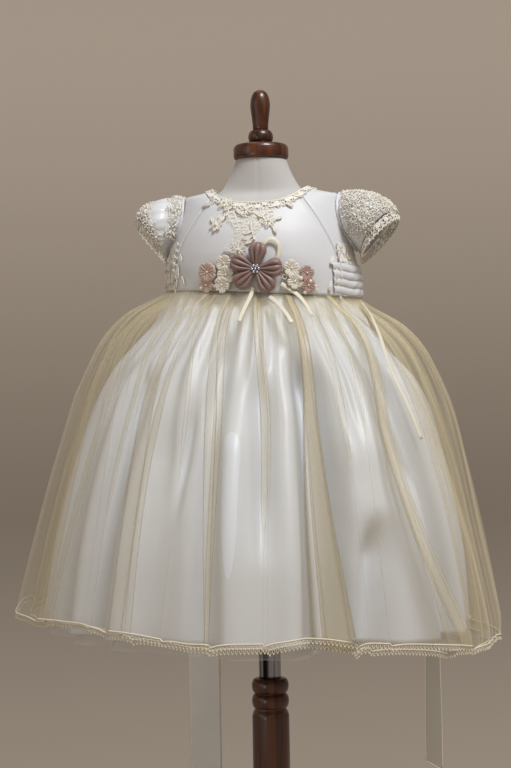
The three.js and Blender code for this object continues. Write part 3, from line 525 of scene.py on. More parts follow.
@once("repeat_along_edge")
def edge_tree(name):
    """Repeats a form along a line at an even pitch, facing out from the line."""
    tree, given, out = new_tree(name, [("Form", "Object"), ("Pitch", "Float"), ("Size", "Float"), ("Finish", "Material")])
    new = tree.nodes.new
    curve = new("GeometryNodeMeshToCurve")
    resample = new("GeometryNodeResampleCurve")
    resample.mode = "LENGTH"
    instance = new("GeometryNodeInstanceOnPoints")
    tangent = new("GeometryNodeInputTangent")
    align = new("FunctionNodeAlignRotationToVector")
    align.axis = "X"
    align.pivot_axis = "Z"
    joined(tree, [
        (given, "Geometry", curve, "Mesh"),
        (curve, "Curve", resample, "Curve"),
        (given, "Pitch", resample, "Length"),
        (resample, "Curve", instance, "Points"),
        (tangent, "Tangent", align, "Vector"),
        (align, "Rotation", instance, "Rotation"),
        (given, "Size", instance, "Scale"),
    ])
    place_form(tree, given, out, instance)
    return tree


@once("strew_on_cloth")
def scatter_tree(name):
    """Strews a form over a cloth, no two closer than a distance, each turned and sized anew."""
    inputs = [("Form", "Object"), ("Apart", "Float"), ("Density", "Float"), ("Seed", "Int")]
    inputs += [("Smallest", "Float"), ("Largest", "Float"), ("Finish", "Material")]
    tree, given, out = new_tree(name, inputs)
    new = tree.nodes.new
    spread = new("GeometryNodeDistributePointsOnFaces")
    spread.distribute_method = "POISSON"
    cover = new("GeometryNodeInputNamedAttribute")
    cover.data_type = "FLOAT"
    cover.inputs["Name"].default_value = "cover"
    size, spin = new("FunctionNodeRandomValue"), new("FunctionNodeRandomValue")
    size.data_type = spin.data_type = "FLOAT"
    # Sockets 2 and 3 are the least and the most of a random number, and output 1 gives it.
    spin.inputs[3].default_value = 2 * math.pi
    about = new("ShaderNodeCombineXYZ")
    turned = new("FunctionNodeRotateRotation")
    turned.rotation_space = "LOCAL"
    as_turn = new("FunctionNodeEulerToRotation")
    instance = new("GeometryNodeInstanceOnPoints")
    joined(tree, [
        (given, "Geometry", spread, "Mesh"),
        (given, "Apart", spread, "Distance Min"),
        (given, "Density", spread, "Density Max"),
        (cover, "Attribute", spread, "Density Factor"),
        (given, "Seed", spread, "Seed"),
        (spread, "Points", instance, "Points"),
        (given, "Smallest", size, 2),
        (given, "Largest", size, 3),
        (given, "Seed", size, "Seed"),
        (given, "Seed", spin, "Seed"),
        (spin, 1, about, "Z"),
        (about, "Vector", as_turn, "Euler"),
        (spread, "Rotation", turned, "Rotation"),
        (as_turn, "Rotation", turned, "Rotate By"),
        (turned, "Rotation", instance, "Rotation"),
        (size, 1, instance, "Scale"),
    ])
    place_form(tree, given, out, instance)
    return tree


def repeated(name, path, form_name, pitch, finish_name, size=1.0, closed=False):
    """A form at an even pitch along a path in millimetres, as one mesh."""
    mesh = bpy.data.meshes.new(name + "_line")
    count = len(path)
    edges = [(i, (i + 1) % count) for i in range(count if closed else count - 1)]
    mesh.from_pydata((np.asarray(path) * MM).tolist(), edges, [])
    line = placed(name + "_line", mesh)
    made = line.modifiers.new("repeat", "NODES")
    made.node_group = edge_tree()
    fill_inputs(made, {"Form": form_of(form_name), "Pitch": pitch * MM, "Size": size, "Finish": finish(finish_name)})
    return evaluated(line, name)


def strewn(name, grid, cover, form_name, apart, finish_name, seed, sizes, density=90000):
    """A form strewn over a grid of points, where `cover` is 1, as one mesh."""
    surface = cloth(name + "_ground", grid)
    layer = surface.data.attributes.new("cover", "FLOAT", "POINT")
    layer.data.foreach_set("value", np.broadcast_to(cover, grid.shape[:2]).astype(np.float32).ravel())
    made = surface.modifiers.new("strew", "NODES")
    made.node_group = scatter_tree()
    values = {"Form": form_of(form_name), "Apart": apart * MM, "Density": float(density), "Seed": seed}
    values |= {"Smallest": sizes[0], "Largest": sizes[1], "Finish": finish(finish_name)}
    fill_inputs(made, values)
    return evaluated(surface, name)


# ---------- Materials ----------


def shader_group(name, inputs, outputs):
    tree = bpy.data.node_groups.new(name, "ShaderNodeTree")
    for label, kind, value in inputs:
        socket = tree.interface.new_socket(name=label, in_out="INPUT", socket_type="NodeSocket" + kind)
        socket.default_value = value
    for label, kind in outputs:
        tree.interface.new_socket(name=label, in_out="OUTPUT", socket_type="NodeSocket" + kind)
    return tree, tree.nodes.new("NodeGroupInput"), tree.nodes.new("NodeGroupOutput")


def math_node(tree, operation, *values):
    node = tree.nodes.new("ShaderNodeMath")
    node.operation = operation
    for socket, value in zip(node.inputs, values):
        if isinstance(value, (int, float)):
            socket.default_value = value
        else:
            tree.links.new(value, socket)
    return node.outputs[0]


def cloth_map(tree):
    """The place on a cloth's own map."""
    place = tree.nodes.new("ShaderNodeUVMap")
    place.uv_map = "cloth"
    return place


@once("uneven_tone")
def variation_group(name):
    """Slow, uneven change of a colour over a piece, by its place."""
    inputs = [("Colour", "Color", (0.8, 0.8, 0.8, 1)), ("Amount", "Float", 0.06), ("Scale", "Float", 30.0)]
    tree, given, out = shader_group(name, inputs, [("Colour", "Color"), ("Tone", "Float")])
    place = tree.nodes.new("ShaderNodeTexCoord")
    noise = tree.nodes.new("ShaderNodeTexNoise")
    noise.inputs["Detail"].default_value = 3
    centred = math_node(tree, "SUBTRACT", noise.outputs["Fac"], 0.5)
    scaled = math_node(tree, "MULTIPLY", centred, given.outputs["Amount"])
    value = math_node(tree, "MULTIPLY_ADD", scaled, 2.0, 1.0)
    tone = tree.nodes.new("ShaderNodeHueSaturation")
    tree.links.new(value, tone.inputs["Value"])
    joined(tree, [
        (place, "Object", noise, "Vector"),
        (given, "Scale", noise, "Scale"),
        (given, "Colour", tone, "Color"),
        (tone, "Color", out, "Colour"),
        (noise, "Fac", out, "Tone"),
    ])
    return tree


@once("crossing_threads")
def weave_group(name):
    """Crossing threads from a cloth's own map: their height, and a mask that is 1 on a thread."""
    inputs = [("Cell", "Float", 0.001), ("Thread", "Float", 0.3)]
    tree, given, out = shader_group(name, inputs, [("Height", "Float"), ("Mask", "Float")])
    split = tree.nodes.new("ShaderNodeSeparateXYZ")
    joined(tree, [(cloth_map(tree), "UV", split, "Vector")])
    waves = []
    for axis in ("X", "Y"):
        cells = math_node(tree, "DIVIDE", split.outputs[axis], given.outputs["Cell"])
        waves.append(math_node(tree, "PINGPONG", cells, 0.5))
    half = math_node(tree, "MULTIPLY", given.outputs["Thread"], 0.5)
    share = math_node(tree, "DIVIDE", math_node(tree, "MINIMUM", *waves), half)
    mask = math_node(tree, "SUBTRACT", 1.0, share)
    mask.node.use_clamp = True
    tree.links.new(math_node(tree, "ADD", *waves), out.inputs["Height"])
    tree.links.new(mask, out.inputs["Mask"])
    return tree


@once("lace_ground")
def lace_group(name):
    """The open work of a lace: a mask that is 1 on thread and 0 in a hole, and its height."""
    inputs = [("Cell", "Float", 0.004), ("Thread", "Float", 0.16), ("Leaf", "Float", 0.5)]
    tree, given, out = shader_group(name, inputs, [("Mask", "Float"), ("Height", "Float")])
    place = cloth_map(tree)
    density = math_node(tree, "DIVIDE", 1.0, given.outputs["Cell"])
    parts = []
    # The net's cells, then the leaves: what is measured, how uneven, how dense, and the reach.
    for feature, uneven, factor, reach in (("DISTANCE_TO_EDGE", 0.45, 1.0, "Thread"), ("F1", 0.8, 0.42, "Leaf")):
        texture = tree.nodes.new("ShaderNodeTexVoronoi")
        texture.voronoi_dimensions = "2D"
        texture.feature = feature
        texture.inputs["Randomness"].default_value = uneven
        joined(tree, [(place, "UV", texture, "Vector")])
        tree.links.new(math_node(tree, "MULTIPLY", density, factor), texture.inputs["Scale"])
        parts.append(math_node(tree, "LESS_THAN", texture.outputs["Distance"], given.outputs[reach]))
    thread, petal = parts
    height = math_node(tree, "ADD", thread, math_node(tree, "MULTIPLY", petal, 1.5))
    tree.links.new(math_node(tree, "MAXIMUM", thread, petal), out.inputs["Mask"])
    tree.links.new(height, out.inputs["Height"])
    return tree


class Finish:
    """One material under construction, round its Principled shader."""

    def __init__(self, name, colour, roughness, **settings):
        self.material = bpy.data.materials.new(name)
        self.material.use_nodes = True
        self.tree = self.material.node_tree
        self.shader = self.tree.nodes["Principled BSDF"]
        self.shader.inputs["Base Color"].default_value = (*colour, 1)
        self.shader.inputs["Roughness"].default_value = roughness
        for label, value in settings.items():
            self.shader.inputs[label.replace("_", " ").title().replace("Ior", "IOR")].default_value = value
        self.colour = colour

    def group(self, tree, **values):
        node = self.tree.nodes.new("ShaderNodeGroup")
        node.node_tree = tree
        for label, value in values.items():
            node.inputs[label].default_value = value
        return node

    def uneven(self, amount, scale):
        node = self.group(variation_group(), Colour=(*self.colour, 1), Amount=amount, Scale=scale)
        self.tree.links.new(node.outputs["Colour"], self.shader.inputs["Base Color"])
        return self

    def bump(self, height, strength, distance):
        node = self.tree.nodes.new("ShaderNodeBump")
        node.inputs["Strength"].default_value = strength
        node.inputs["Distance"].default_value = distance
        self.tree.links.new(height, node.inputs["Height"])
        self.tree.links.new(node.outputs["Normal"], self.shader.inputs["Normal"])
        return self

    def noise(self, scale, stretch=(1, 1, 1), detail=4.0):
        place = self.tree.nodes.new("ShaderNodeTexCoord")
        mapping = self.tree.nodes.new("ShaderNodeMapping")
        mapping.inputs["Scale"].default_value = stretch
        noise = self.tree.nodes.new("ShaderNodeTexNoise")
        noise.inputs["Scale"].default_value = scale
        noise.inputs["Detail"].default_value = detail
        joined(self.tree, [(place, "Object", mapping, "Vector"), (mapping, "Vector", noise, "Vector")])
        return noise.outputs["Fac"]

    def ramp(self, share, low, low_colour, high, high_colour):
        """Colours the piece from one colour to another as `share` goes from `low` to `high`."""
        node = self.tree.nodes.new("ShaderNodeValToRGB")
        for element, place, colour in zip(node.color_ramp.elements, (low, high), (low_colour, high_colour)):
            element.position = place
            element.color = (*colour, 1)
        self.tree.links.new(share, node.inputs["Fac"])
        joined(self.tree, [(node, "Color", self.shader, "Base Color")])

    def alpha(self, value):
        self.tree.links.new(value, self.shader.inputs["Alpha"])
        return self

    def crowding(self, most, reach):
        """How much closer the gathered threads lie, by the distance down from the cloth's top."""
        split = self.tree.nodes.new("ShaderNodeSeparateXYZ")
        near = self.tree.nodes.new("ShaderNodeMapRange")
        near.interpolation_type = "SMOOTHSTEP"
        for label, value in (("From Min", -reach), ("From Max", 0.0), ("To Min", 1.0), ("To Max", most)):
            near.inputs[label].default_value = value
        joined(self.tree, [(cloth_map(self.tree), "UV", split, "Vector"), (split, "Y", near, "Value")])
        return near.outputs["Result"]

    def sheer(self, cover, mask, swing, crowd):
        """See-through cloth: `cover` is the share that threads hide, seen square on. It
        hides more at a slant, and `mask` gathers it into threads."""
        facing = self.tree.nodes.new("ShaderNodeLayerWeight")
        facing.inputs["Blend"].default_value = 0.5
        square_on = math_node(self.tree, "SUBTRACT", 1.0, facing.outputs["Facing"])
        depth = math_node(self.tree, "DIVIDE", crowd, math_node(self.tree, "MAXIMUM", square_on, 0.2))
        clear = math_node(self.tree, "POWER", 1.0 - cover, depth)
        hidden = math_node(self.tree, "SUBTRACT", 1.0, clear)
        threads = math_node(self.tree, "MULTIPLY_ADD", mask, swing, 1.0 - swing / 2)
        hidden = math_node(self.tree, "MULTIPLY", hidden, threads)
        hidden.node.use_clamp = True
        return self.alpha(hidden)


FINISHES = {}


def finish(name):
    """The material of that name, made when it is first asked for."""
    if name not in FINISHES:
        FINISHES[name] = MAKERS[name](bpy.context.scene.gown_colours, bpy.context.scene.gown_cloth)
    return FINISHES[name]


def opaque(name, colour, roughness, uneven, bump=None, grain=1, on_satin=False, **settings):
    """The maker of an opaque finish. `uneven` is an amount and a scale, `bump` a scale, strength
    and distance, `grain` the bump's stretch upward. `on_satin` adds the satin's own roughness."""

    def make(colours, sizes):
        rough = sizes.satin_roughness + roughness if on_satin else roughness
        made = Finish(name, getattr(colours, colour), rough, **settings).uneven(*uneven)
        if bump:
            made.bump(made.noise(bump[0], (1, 1, grain)), *bump[1:])
        return made.material

    return make


def see_through(name, colour, roughness, cover, cell, thread, swing=0.6, crowd=None, **settings):
    """The maker of a sheer finish, by its setting for cover and its cell as a share of the tulle's."""

    def make(colours, sizes):
        made = Finish(name, getattr(colours, colour), roughness, **settings)
        threads = made.group(weave_group(), Cell=sizes.tulle_cell * cell, Thread=thread)
        near = made.crowding(*crowd) if crowd else 1.0
        return made.sheer(getattr(sizes, cover), threads.outputs["Mask"], swing, near).material

    return make


def make_lace(colours, sizes):
    made = Finish("lace", colours.lace, 0.8, sheen_weight=0.2)
    ground = made.group(lace_group(), Cell=0.0032, Thread=0.13, Leaf=0.42)
    made.bump(ground.outputs["Height"], 0.6, 0.0006)
    return made.alpha(ground.outputs["Mask"]).material


def make_lace_net(colours, sizes):
    made = Finish("lace_net", colours.lace, 0.8)
    ground = made.group(lace_group(), Cell=0.0016, Thread=0.14, Leaf=0.3)
    return made.alpha(math_node(made.tree, "MULTIPLY", ground.outputs["Mask"], 0.75)).material


def make_jersey(colours, sizes):
    made = Finish("jersey", colours.jersey, 0.9, sheen_weight=0.25)
    knit = made.group(weave_group(), Cell=0.0011, Thread=0.6)
    return made.uneven(0.04, 22).bump(knit.outputs["Height"], 0.25, 0.0004).material


def make_wood(colours, sizes):
    made = Finish("mahogany", colours.wood, 0.38, coat_weight=0.35, coat_roughness=0.1)
    grain = made.noise(160, (1, 1, 0.03), 4.0)
    made.ramp(grain, 0.38, (0.25 * c for c in colours.wood), 0.62, colours.wood)
    return made.bump(grain, 0.08, 0.0006).material


def make_chrome(colours, sizes):
    made = Finish("chrome", colours.chrome, 0.16, metallic=1.0)
    # Painted reflection: dark and bright streaks up the tube in its base colour stand in for what the chrome reflects.
    painted_reflection_streaks = made.noise(190, (1, 1, 0.01), 1.0)
    made.ramp(painted_reflection_streaks, 0.42, (0.012, 0.012, 0.014), 0.6, (2.6 * c for c in colours.chrome))
    return made.material


SATIN_SHEEN = dict(on_satin=True, sheen_weight=0.12, sheen_roughness=0.4)
PEARL_COAT = dict(coat_weight=0.6, coat_roughness=0.12, sheen_weight=0.2)
MAKERS = {
    "satin": opaque("satin", "satin", 0, (0.03, 18), (2200, 0.06, 0.0004), 0.25, **SATIN_SHEEN),
    "skirt_satin": opaque("skirt_satin", "skirt", 0, (0.03, 18), (2200, 0.06, 0.0004), 0.25, **SATIN_SHEEN),
    "bodice_satin": opaque("bodice_satin", "satin", 0.08, (0.03, 26), (2600, 0.06, 0.0003), on_satin=True, sheen_weight=0.1),
    # The tail's finish is a lit copy of the satin: its colour is painted light, far brighter than the satin, to make
    # up for the shade it hangs in.
    "tail": opaque("tail_satin", "tail", 0, (0.08, 40), (1800, 0.06, 0.0003), on_satin=True, sheen_weight=0.2),
    "ribbon": opaque("ribbon_satin", "ribbon", 0.4, (0.05, 60), (2600, 0.08, 0.0003), sheen_weight=0.15),
    "tulle": see_through(
        "tulle", "tulle", 0.65, "tulle_cover", 1, 0.5, crowd=(1.4, 0.1), sheen_weight=0.3, sheen_roughness=0.4
    ),
    "organza": see_through("organza", "organza", 0.5, "organza_cover", 0.6, 0.5, 0.3, sheen_weight=0.3),
    "net": see_through("clear_net", "net", 0.35, "net_cover", 1.3, 0.4),
    "lace": make_lace,
    "lace_net": make_lace_net,
    "lace_thread": opaque("lace_thread", "lace", 0.75, (0.12, 400), (5200, 0.3, 0.0003), sheen_weight=0.25),
    "hem_thread": opaque("hem_thread", "hem", 0.75, (0.12, 400), (5200, 0.3, 0.0003), sheen_weight=0.25),
    "mauve": opaque(
        "mauve_satin", "mauve", 0.42, (0.14, 160), (2400, 0.12, 0.0003), sheen_weight=0.35, sheen_roughness=0.35
    ),
    "blush": opaque("blush_leather", "blush", 0.62, (0.1, 260), (1500, 0.25, 0.0004)),
    "rose": opaque("rose_leather", "rose", 0.55, (0.1, 260), (1500, 0.25, 0.0004)),
    "cream": opaque("cream_organza", "cream", 0.6, (0.08, 260), (3000, 0.2, 0.0003), sheen_weight=0.3),
    "pearl": opaque("pearl", "pearl", 0.22, (0.05, 500), **PEARL_COAT),
    "bronze_pearl": opaque("bronze_pearl", "bronze_pearl", 0.22, (0.05, 500), **PEARL_COAT),
    "crystal": opaque("crystal", "crystal", 0.08, (0.5, 900), metallic=0.75, coat_weight=1.0, coat_roughness=0.03),
    "jersey": make_jersey,
    "wood": make_wood,
    "chrome": make_chrome,
}

# ---------- Settings that a user would change ----------


def colour_setting(name, default, description):
    return FloatVectorProperty(
        name=name, description=description, subtype="COLOR", size=3, min=0, max=1, default=default
    )


class GownColours(bpy.types.PropertyGroup):
    satin: colour_setting("Satin", (0.71, 0.715, 0.735), "Bodice, sleeves and sash")
    skirt: colour_setting("Skirt Satin", (0.76, 0.8, 0.87), "The satin skirt, seen through the tulle")
    # Painted light: the tail is the same satin as the sash, given a much brighter colour for the shade it hangs in
    # behind the skirt.
    tail: colour_setting("Satin Tail", (0.98, 0.975, 0.92), "The wide tail of the sash")
    tulle: colour_setting("Tulle", (0.72, 0.62, 0.395), "The two sheer layers of the skirt")
    ribbon: colour_setting("Ribbon", (0.8, 0.74, 0.6), "The narrow ribbons")
    organza: colour_setting("Organza", (0.34, 0.33, 0.25), "The sheer tail of the sash")
    net: colour_setting("Net", (0.78, 0.77, 0.74), "The clear stiff petticoat")
    lace: colour_setting("Lace", (0.88, 0.84, 0.75), "Sleeves, sides, neckline and motif")
    hem: colour_setting("Hem Thread", (0.8, 0.73, 0.57), "Rolled hems and their picots")
    mauve: colour_setting("Mauve", (0.27, 0.175, 0.155), "The large satin flower")
    rose: colour_setting("Rose", (0.46, 0.31, 0.27), "The small blossoms at the right")
    blush: colour_setting("Blush", (0.58, 0.44, 0.37), "The small pink blossoms")
    cream: colour_setting("Cream", (0.76, 0.72, 0.61), "The small cream blossoms")
    pearl: colour_setting("Pearl", (0.86, 0.78, 0.66), "Pearls and buttons")
    bronze_pearl: colour_setting("Bronze Pearl", (0.35, 0.25, 0.18), "The dark pearl at the left")
    crystal: colour_setting("Crystal", (0.72, 0.78, 0.85), "The stones of the large flower")
    jersey: colour_setting("Jersey", (0.56, 0.54, 0.52), "The cover of the dress form")
    wood: colour_setting("Wood", (0.12, 0.03, 0.008), "The turned stand")
    chrome: colour_setting("Chrome", (0.13, 0.13, 0.14), "The tube under the form")


def setting(name, default, low, high, description, kind=FloatProperty, **shown):
    return kind(name=name, description=description, min=low, max=high, default=default, **shown)


SHARE = dict(subtype="FACTOR")
LENGTH = dict(unit="LENGTH", precision=4)


class GownCloth(bpy.types.PropertyGroup):
    tulle_cover: setting("Tulle Cover", 0.09, 0.02, 0.9, "Share of the view that one layer of tulle hides", **SHARE)
    organza_cover: setting("Organza Cover", 0.55, 0.02, 0.95, "Share of the view that the organza tail hides", **SHARE)
    net_cover: setting("Net Cover", 0.2, 0.02, 0.9, "Share of the view that the petticoat net hides", **SHARE)
    tulle_cell: setting("Tulle Cell", 0.0011, 0.0003, 0.005, "Width of one cell of the tulle", **LENGTH)
    satin_roughness: setting("Satin Roughness", 0.4, 0, 1, "How matte the satin is", **SHARE)
    gathers: setting("Gathers", 96, 10, 300, "Small gathers round the waist of each sheer layer", IntProperty)
    gather_height: setting("Gather Height", 0.0042, 0, 0.01, "How far the small gathers stand out", **LENGTH)
    picot_pitch: setting("Picot Pitch", 0.0036, 0.001, 0.02, "Distance between two picots of a hem", **LENGTH)


class GownStudio(bpy.types.PropertyGroup):
    wall_radius: setting("Wall Radius", 7.5, 5, 20, "Distance from the gown to the wall behind it", unit="LENGTH")
    # The backdrop's two colours are painted light and shade: light high on the wall and darker at the floor, as the
    # light falls off.
    backdrop_top_painted_light: colour_setting("Backdrop, High", (0.58, 0.505, 0.425), "Wall at the top of the view")
    backdrop_low_painted_shade: colour_setting("Backdrop, Low", (0.185, 0.146, 0.113), "Floor and the foot of the wall")
    key_power: setting("Key Light", 86, 0, 1000, "Power of the large soft light above and to the right", unit="POWER")
    fill_power: setting("Fill Light", 6, 0, 1000, "Power of the soft light at the left", unit="POWER")
    wall_glow: setting("Wall Glow", 0.33, 0, 5, "How much light the backdrop itself gives")
    ambient: setting("Ambient", 0.15, 0, 5, "Strength of the even light from all round")


# ---------- Camera, lights and backdrop ----------

CAMERA_DISTANCE = 1.813
CAMERA_HEIGHT = 0.53
CAMERA_TURN = math.radians(8)
CAMERA_ROLL = math.radians(-1)
CAMERA_SHIFT = -0.0095
GOWN_MIDDLE = (0, 0, 0.45)
TAILS_MIDDLE = (-0.04, 0.15, 0.15)
LOW_LIGHT_POWER = 2.2


def make_camera():
    data = bpy.data.cameras.new("camera")
    data.lens = 85
    data.sensor_width = 36
    camera = bpy.data.objects.new("camera", data)
    bpy.context.scene.collection.objects.link(camera)
    right = Vector((math.cos(CAMERA_TURN), math.sin(CAMERA_TURN), 0))
    ahead = Vector((-math.sin(CAMERA_TURN), math.cos(CAMERA_TURN), 0))
    basis = Matrix((right, (0, 0, 1), -ahead)).transposed().to_4x4()
    place = right * CAMERA_SHIFT - ahead * CAMERA_DISTANCE + Vector((0, 0, CAMERA_HEIGHT))
    camera.matrix_world = Matrix.Translation(place) @ basis @ Matrix.Rotation(CAMERA_ROLL, 4, "Z")
    bpy.context.scene.camera = camera


def soft_light(name, place, aim, side, power, colour=(1, 1, 1)):
    data = bpy.data.lights.new(name, "AREA")
    data.shape = "DISK"
    data.size = side
    data.energy = power
    data.color = colour
    lamp = bpy.data.objects.new(name, data)
    bpy.context.scene.collection.objects.link(lamp)
    lamp.location = place
    lamp.rotation_euler = (Vector(aim) - Vector(place)).to_track_quat("-Z", "Y").to_euler()
    lamp.visible_camera = False


def make_stage():
    studio = bpy.context.scene.gown_studio
    form = Form()
    reach = studio.wall_radius / MM
    curve = 0.3 * reach
    profile = [(0, 0), (0.35 * reach, 0), (reach - curve, 0)]
    bend = np.linspace(0, np.pi / 2, 10)[1:]
    profile += [(reach - curve + curve * math.sin(a), curve * (1 - math.cos(a))) for a in bend]
    profile.append((reach, 0.75 * reach))
    turn = 2 * np.pi * np.arange(72) / 72
    grid = [np.stack([r * np.cos(turn), r * np.sin(turn), np.full(72, z)], -1) for r, z in profile[1:]]
    form.add_grid(np.array(grid)[::-1], ring=True)
    form.faces = [tuple(reversed(face)) for face in form.faces]
    form.add(grid[0], [tuple(range(72))])
    wall = form.made("studio_floor_and_wall")
    # Painted light and shade: the backdrop's colour runs from dark at the floor to light high on the wall, and the
    # wall glows with the same colours.
    made = Finish("backdrop", studio.backdrop_low_painted_shade, 0.95)
    new = made.tree.nodes.new
    split = new("ShaderNodeSeparateXYZ")
    ramp = new("ShaderNodeMapRange")
    ramp.interpolation_type = "SMOOTHSTEP"
    ramp.inputs["From Min"].default_value = -1
    ramp.inputs["From Max"].default_value = 2.4
    blend = new("ShaderNodeMix")
    blend.data_type = "RGBA"
    blend.inputs["A"].default_value = (*studio.backdrop_low_painted_shade, 1)
    blend.inputs["B"].default_value = (*studio.backdrop_top_painted_light, 1)
    joined(made.tree, [
        (new("ShaderNodeTexCoord"), "Object", split, "Vector"),
        (split, "Z", ramp, "Value"),
        (ramp, "Result", blend, "Factor"),
        (blend, "Result", made.shader, "Base Color"),
        (blend, "Result", made.shader, "Emission Color"),
    ])
    made.shader.inputs["Emission Strength"].default_value = studio.wall_glow
    wall.data.materials.append(made.material)
    scene = bpy.context.scene
    scene.world = bpy.data.worlds.new("soft_room")
    scene.world.use_nodes = True
    sky = scene.world.node_tree.nodes["Background"]
    sky.inputs["Color"].default_value = (1.0, 0.985, 0.96, 1)
    sky.inputs["Strength"].default_value = studio.ambient
    soft_light("key_light", (1.15, -1.3, 3.15), GOWN_MIDDLE, 1.1, studio.key_power, (0.97, 0.985, 1))
    soft_light("fill_light", (-2.6, -2.0, 1.3), GOWN_MIDDLE, 1.8, studio.fill_power, (0.97, 0.98, 1))
    soft_light("low_light", (-0.9, -1.7, 0.3), TAILS_MIDDLE, 0.6, LOW_LIGHT_POWER)
    soft_light("top_light", (-0.3, 0.9, 3.2), GOWN_MIDDLE, 1.8, studio.fill_power)
    scene.view_settings.view_transform = "Standard"
    scene.cycles.transparent_max_bounces = 40


# ---------- Narrow ribbons ----------


def make_ribbons():
    """The free ribbons, flat cords 4 mm wide, along the same routes as their model nodes."""
    routes = {}
    for name, points in RIBBONS.items():
        flat = spline(points, 25)
        turns = [turn_at(x, max(z, BODICE_LOW)) for x, z in flat]
        outs = np.array([np.append(outward(t)[:2], 0.25) for t in turns])
        base = np.array([front_point(x, z) for x, z in flat])
        routes[name] = (base, outs)
    flat = spline(WAIST_RIBBON, 41)
    outs = np.array([np.append(outward(t)[:2], 0.4) for t, z in flat])
    base = np.array([skirt_point(LAYERS["outer"], t, z) for t, z in flat])
    routes["waist_ribbon_right"] = (base, outs)
    for name, (base, outs) in routes.items():
        outs = outs / np.linalg.norm(outs, axis=1, keepdims=True)
        count = len(base)
        share = np.linspace(0, 1, count)
        # How far it stands off, and how often it ripples.
        stand, waves = (8.5, 9) if name.startswith("waist") else (3.5, 5)
        ripple = 0.5 * np.sin(share * waves) * smooth(share, 0, 0.3)
        centre = tilted(base + outs * (stand + ripple)[:, None])
        along = np.gradient(centre, axis=0)
        side = np.cross(outs, along)
        side = side / np.linalg.norm(side, axis=1, keepdims=True)
        across = np.linspace(-1, 1, 7)
        crown = 0.25 * (1 - across**2)
        grid = centre[:, None] + side[:, None] * (across * RIBBON_WIDE / 2)[None, :, None]
        grid = grid + outs[:, None] * crown[None, :, None]
        if grid_normals(grid)[count // 2, 3] @ outs[count // 2] < 0:
            grid = grid[:, ::-1]
        ribbon = finished(cloth(name, grid, thick=0.45), "ribbon", "satin", name)


# ---------- Dress form and stand ----------


def make_form():
    heights = spline([(row[0], 0) for row in TORSO], 110)[::-1, :1]
    turn = np.linspace(0, 360, 96, endpoint=False)
    grid = oval(read(TORSO, heights, 1), read(TORSO, heights, 2), turn[None], heights)
    seam = np.exp(-((away_from(turn, 0) / 1.2) ** 2)) + np.exp(-((away_from(turn, 180) / 1.2) ** 2))
    grid = raised(grid, -0.5 * seam[None] * np.ones((len(heights), 1)), ring=True)
    form = cloth("dress_form_cover", grid, ring=True)
    lid = bmesh.new()
    lid.from_mesh(form.data)
    bmesh.ops.holes_fill(lid, edges=[e for e in lid.edges if e.is_boundary])
    bmesh.ops.recalc_face_normals(lid, faces=lid.faces)
    lid.to_mesh(form.data)
    lid.free()
    finished(form, "jersey", "jersey", "torso")


def bead(low, high, top, bottom, count=9):
    """The side of a round turned bead from one height to a lower one."""
    return [
        (low + (high - low) * math.sin(math.pi * s), top + (bottom - top) * (1 - math.cos(math.pi * s)) / 2)
        for s in np.linspace(0, 1, count)
    ]


def turned(name, profile, finish_name, slot, sides=72):
    """A lathe-turned piece from its side, as radius and height from the top down."""
    turn = 2 * np.pi * np.arange(sides) / sides
    grid = np.array([[(r * math.sin(a), -r * math.cos(a), z) for a in turn] for r, z in profile])
    made = Form().add_grid(grid, ring=True, caps=True).made(name, outside=True)
    edge = made.modifiers.new("soft_edges", "BEVEL")
    edge.width = 0.0006
    edge.segments = 2
    edge.limit_method = "ANGLE"
    edge.angle_limit = math.radians(35)
    return finished(made, finish_name, slot, name.removesuffix("_turned"))


def top_and_bottom(node):
    low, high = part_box(node)
    return high.z / MM, low.z / MM, high.x / MM


def make_stand():
    top, low, wide = top_and_bottom("neck_cap")
    cap = [(wide - 5, top), (wide - 3, top - 0.4), (wide - 0.8, top - 2.2), (wide, top - 4.5), (wide, low + 3)]
    turned("neck_cap_turned", [*cap, (wide - 0.6, low + 0.8), (wide - 2, low)], "wood", "wood")
    top, low, wide = top_and_bottom("finial_ring")
    turned("finial_ring_turned", bead(wide - 5, wide, top, low, 13), "wood", "wood")
    top, low, wide = top_and_bottom("finial")
    knob = [(0.6, top), (3.5, top - 0.7), (6.3, top - 2.6), (8.2, top - 5.6), (9.5, top - 10), (wide, top - 16)]
    shaft = [(9.4, top - 22), (8.5, top - 29), (7.9, top - 35), (7.7, low)]
    turned("finial_turned", knob + shaft, "wood", "wood")
    top, low, wide = top_and_bottom("chrome_tube")
    turned("chrome_tube_turned", [(wide, top), (wide, low)], "chrome", "chrome", 64)
    top, low, wide = top_and_bottom("column")
    shoulder = [(18.5 - 2.5 * (1 - s) ** 2, top - 31 - 8 * s) for s in np.linspace(0, 1, 7)]
    cove = [(16 + 2.5 * (1 - math.sin(math.pi * s / 2)), 96 - 8 * s) for s in np.linspace(0, 1, 6)]
    column = [
        (14.5, top),
        *bead(15, 18.5, top - 0.2, top - 14.5),
        *bead(15.5, 18.5, top - 15.5, top - 29.5),
        *shoulder,
        (18.6, 170),
        *cove,
        *bead(16.5, 21.2, 86, 54, 15),
        (17, 52),
        (18.2, 46),
        (20.6, 41.5),
        (24, 39),
        (24, low),
    ]
    turned("column_turned", column, "wood", "wood")
    top, low, wide = top_and_bottom("base")
    foot = [
        (33, top),
        (34.5, top - 1.5),
        (37, top - 4.5),
        (46, top - 7.4),
        (70, top - 9.4),
        (wide - 30, top - 12.4),
        (wide - 8, top - 16.8),
        *[(wide - 6 + 6 * math.sin(a), low + 8.5 + 8 * math.cos(a)) for a in np.linspace(0.2, 1.5, 6)],
        (wide, low + 4),
        (wide - 1.2, low + 1.4),
        (wide - 4, low),
    ]
    turned("base_turned", foot, "wood", "wood", 96)


# ---------- Bodice ----------

SIDES = {"left": -1, "right": 1}


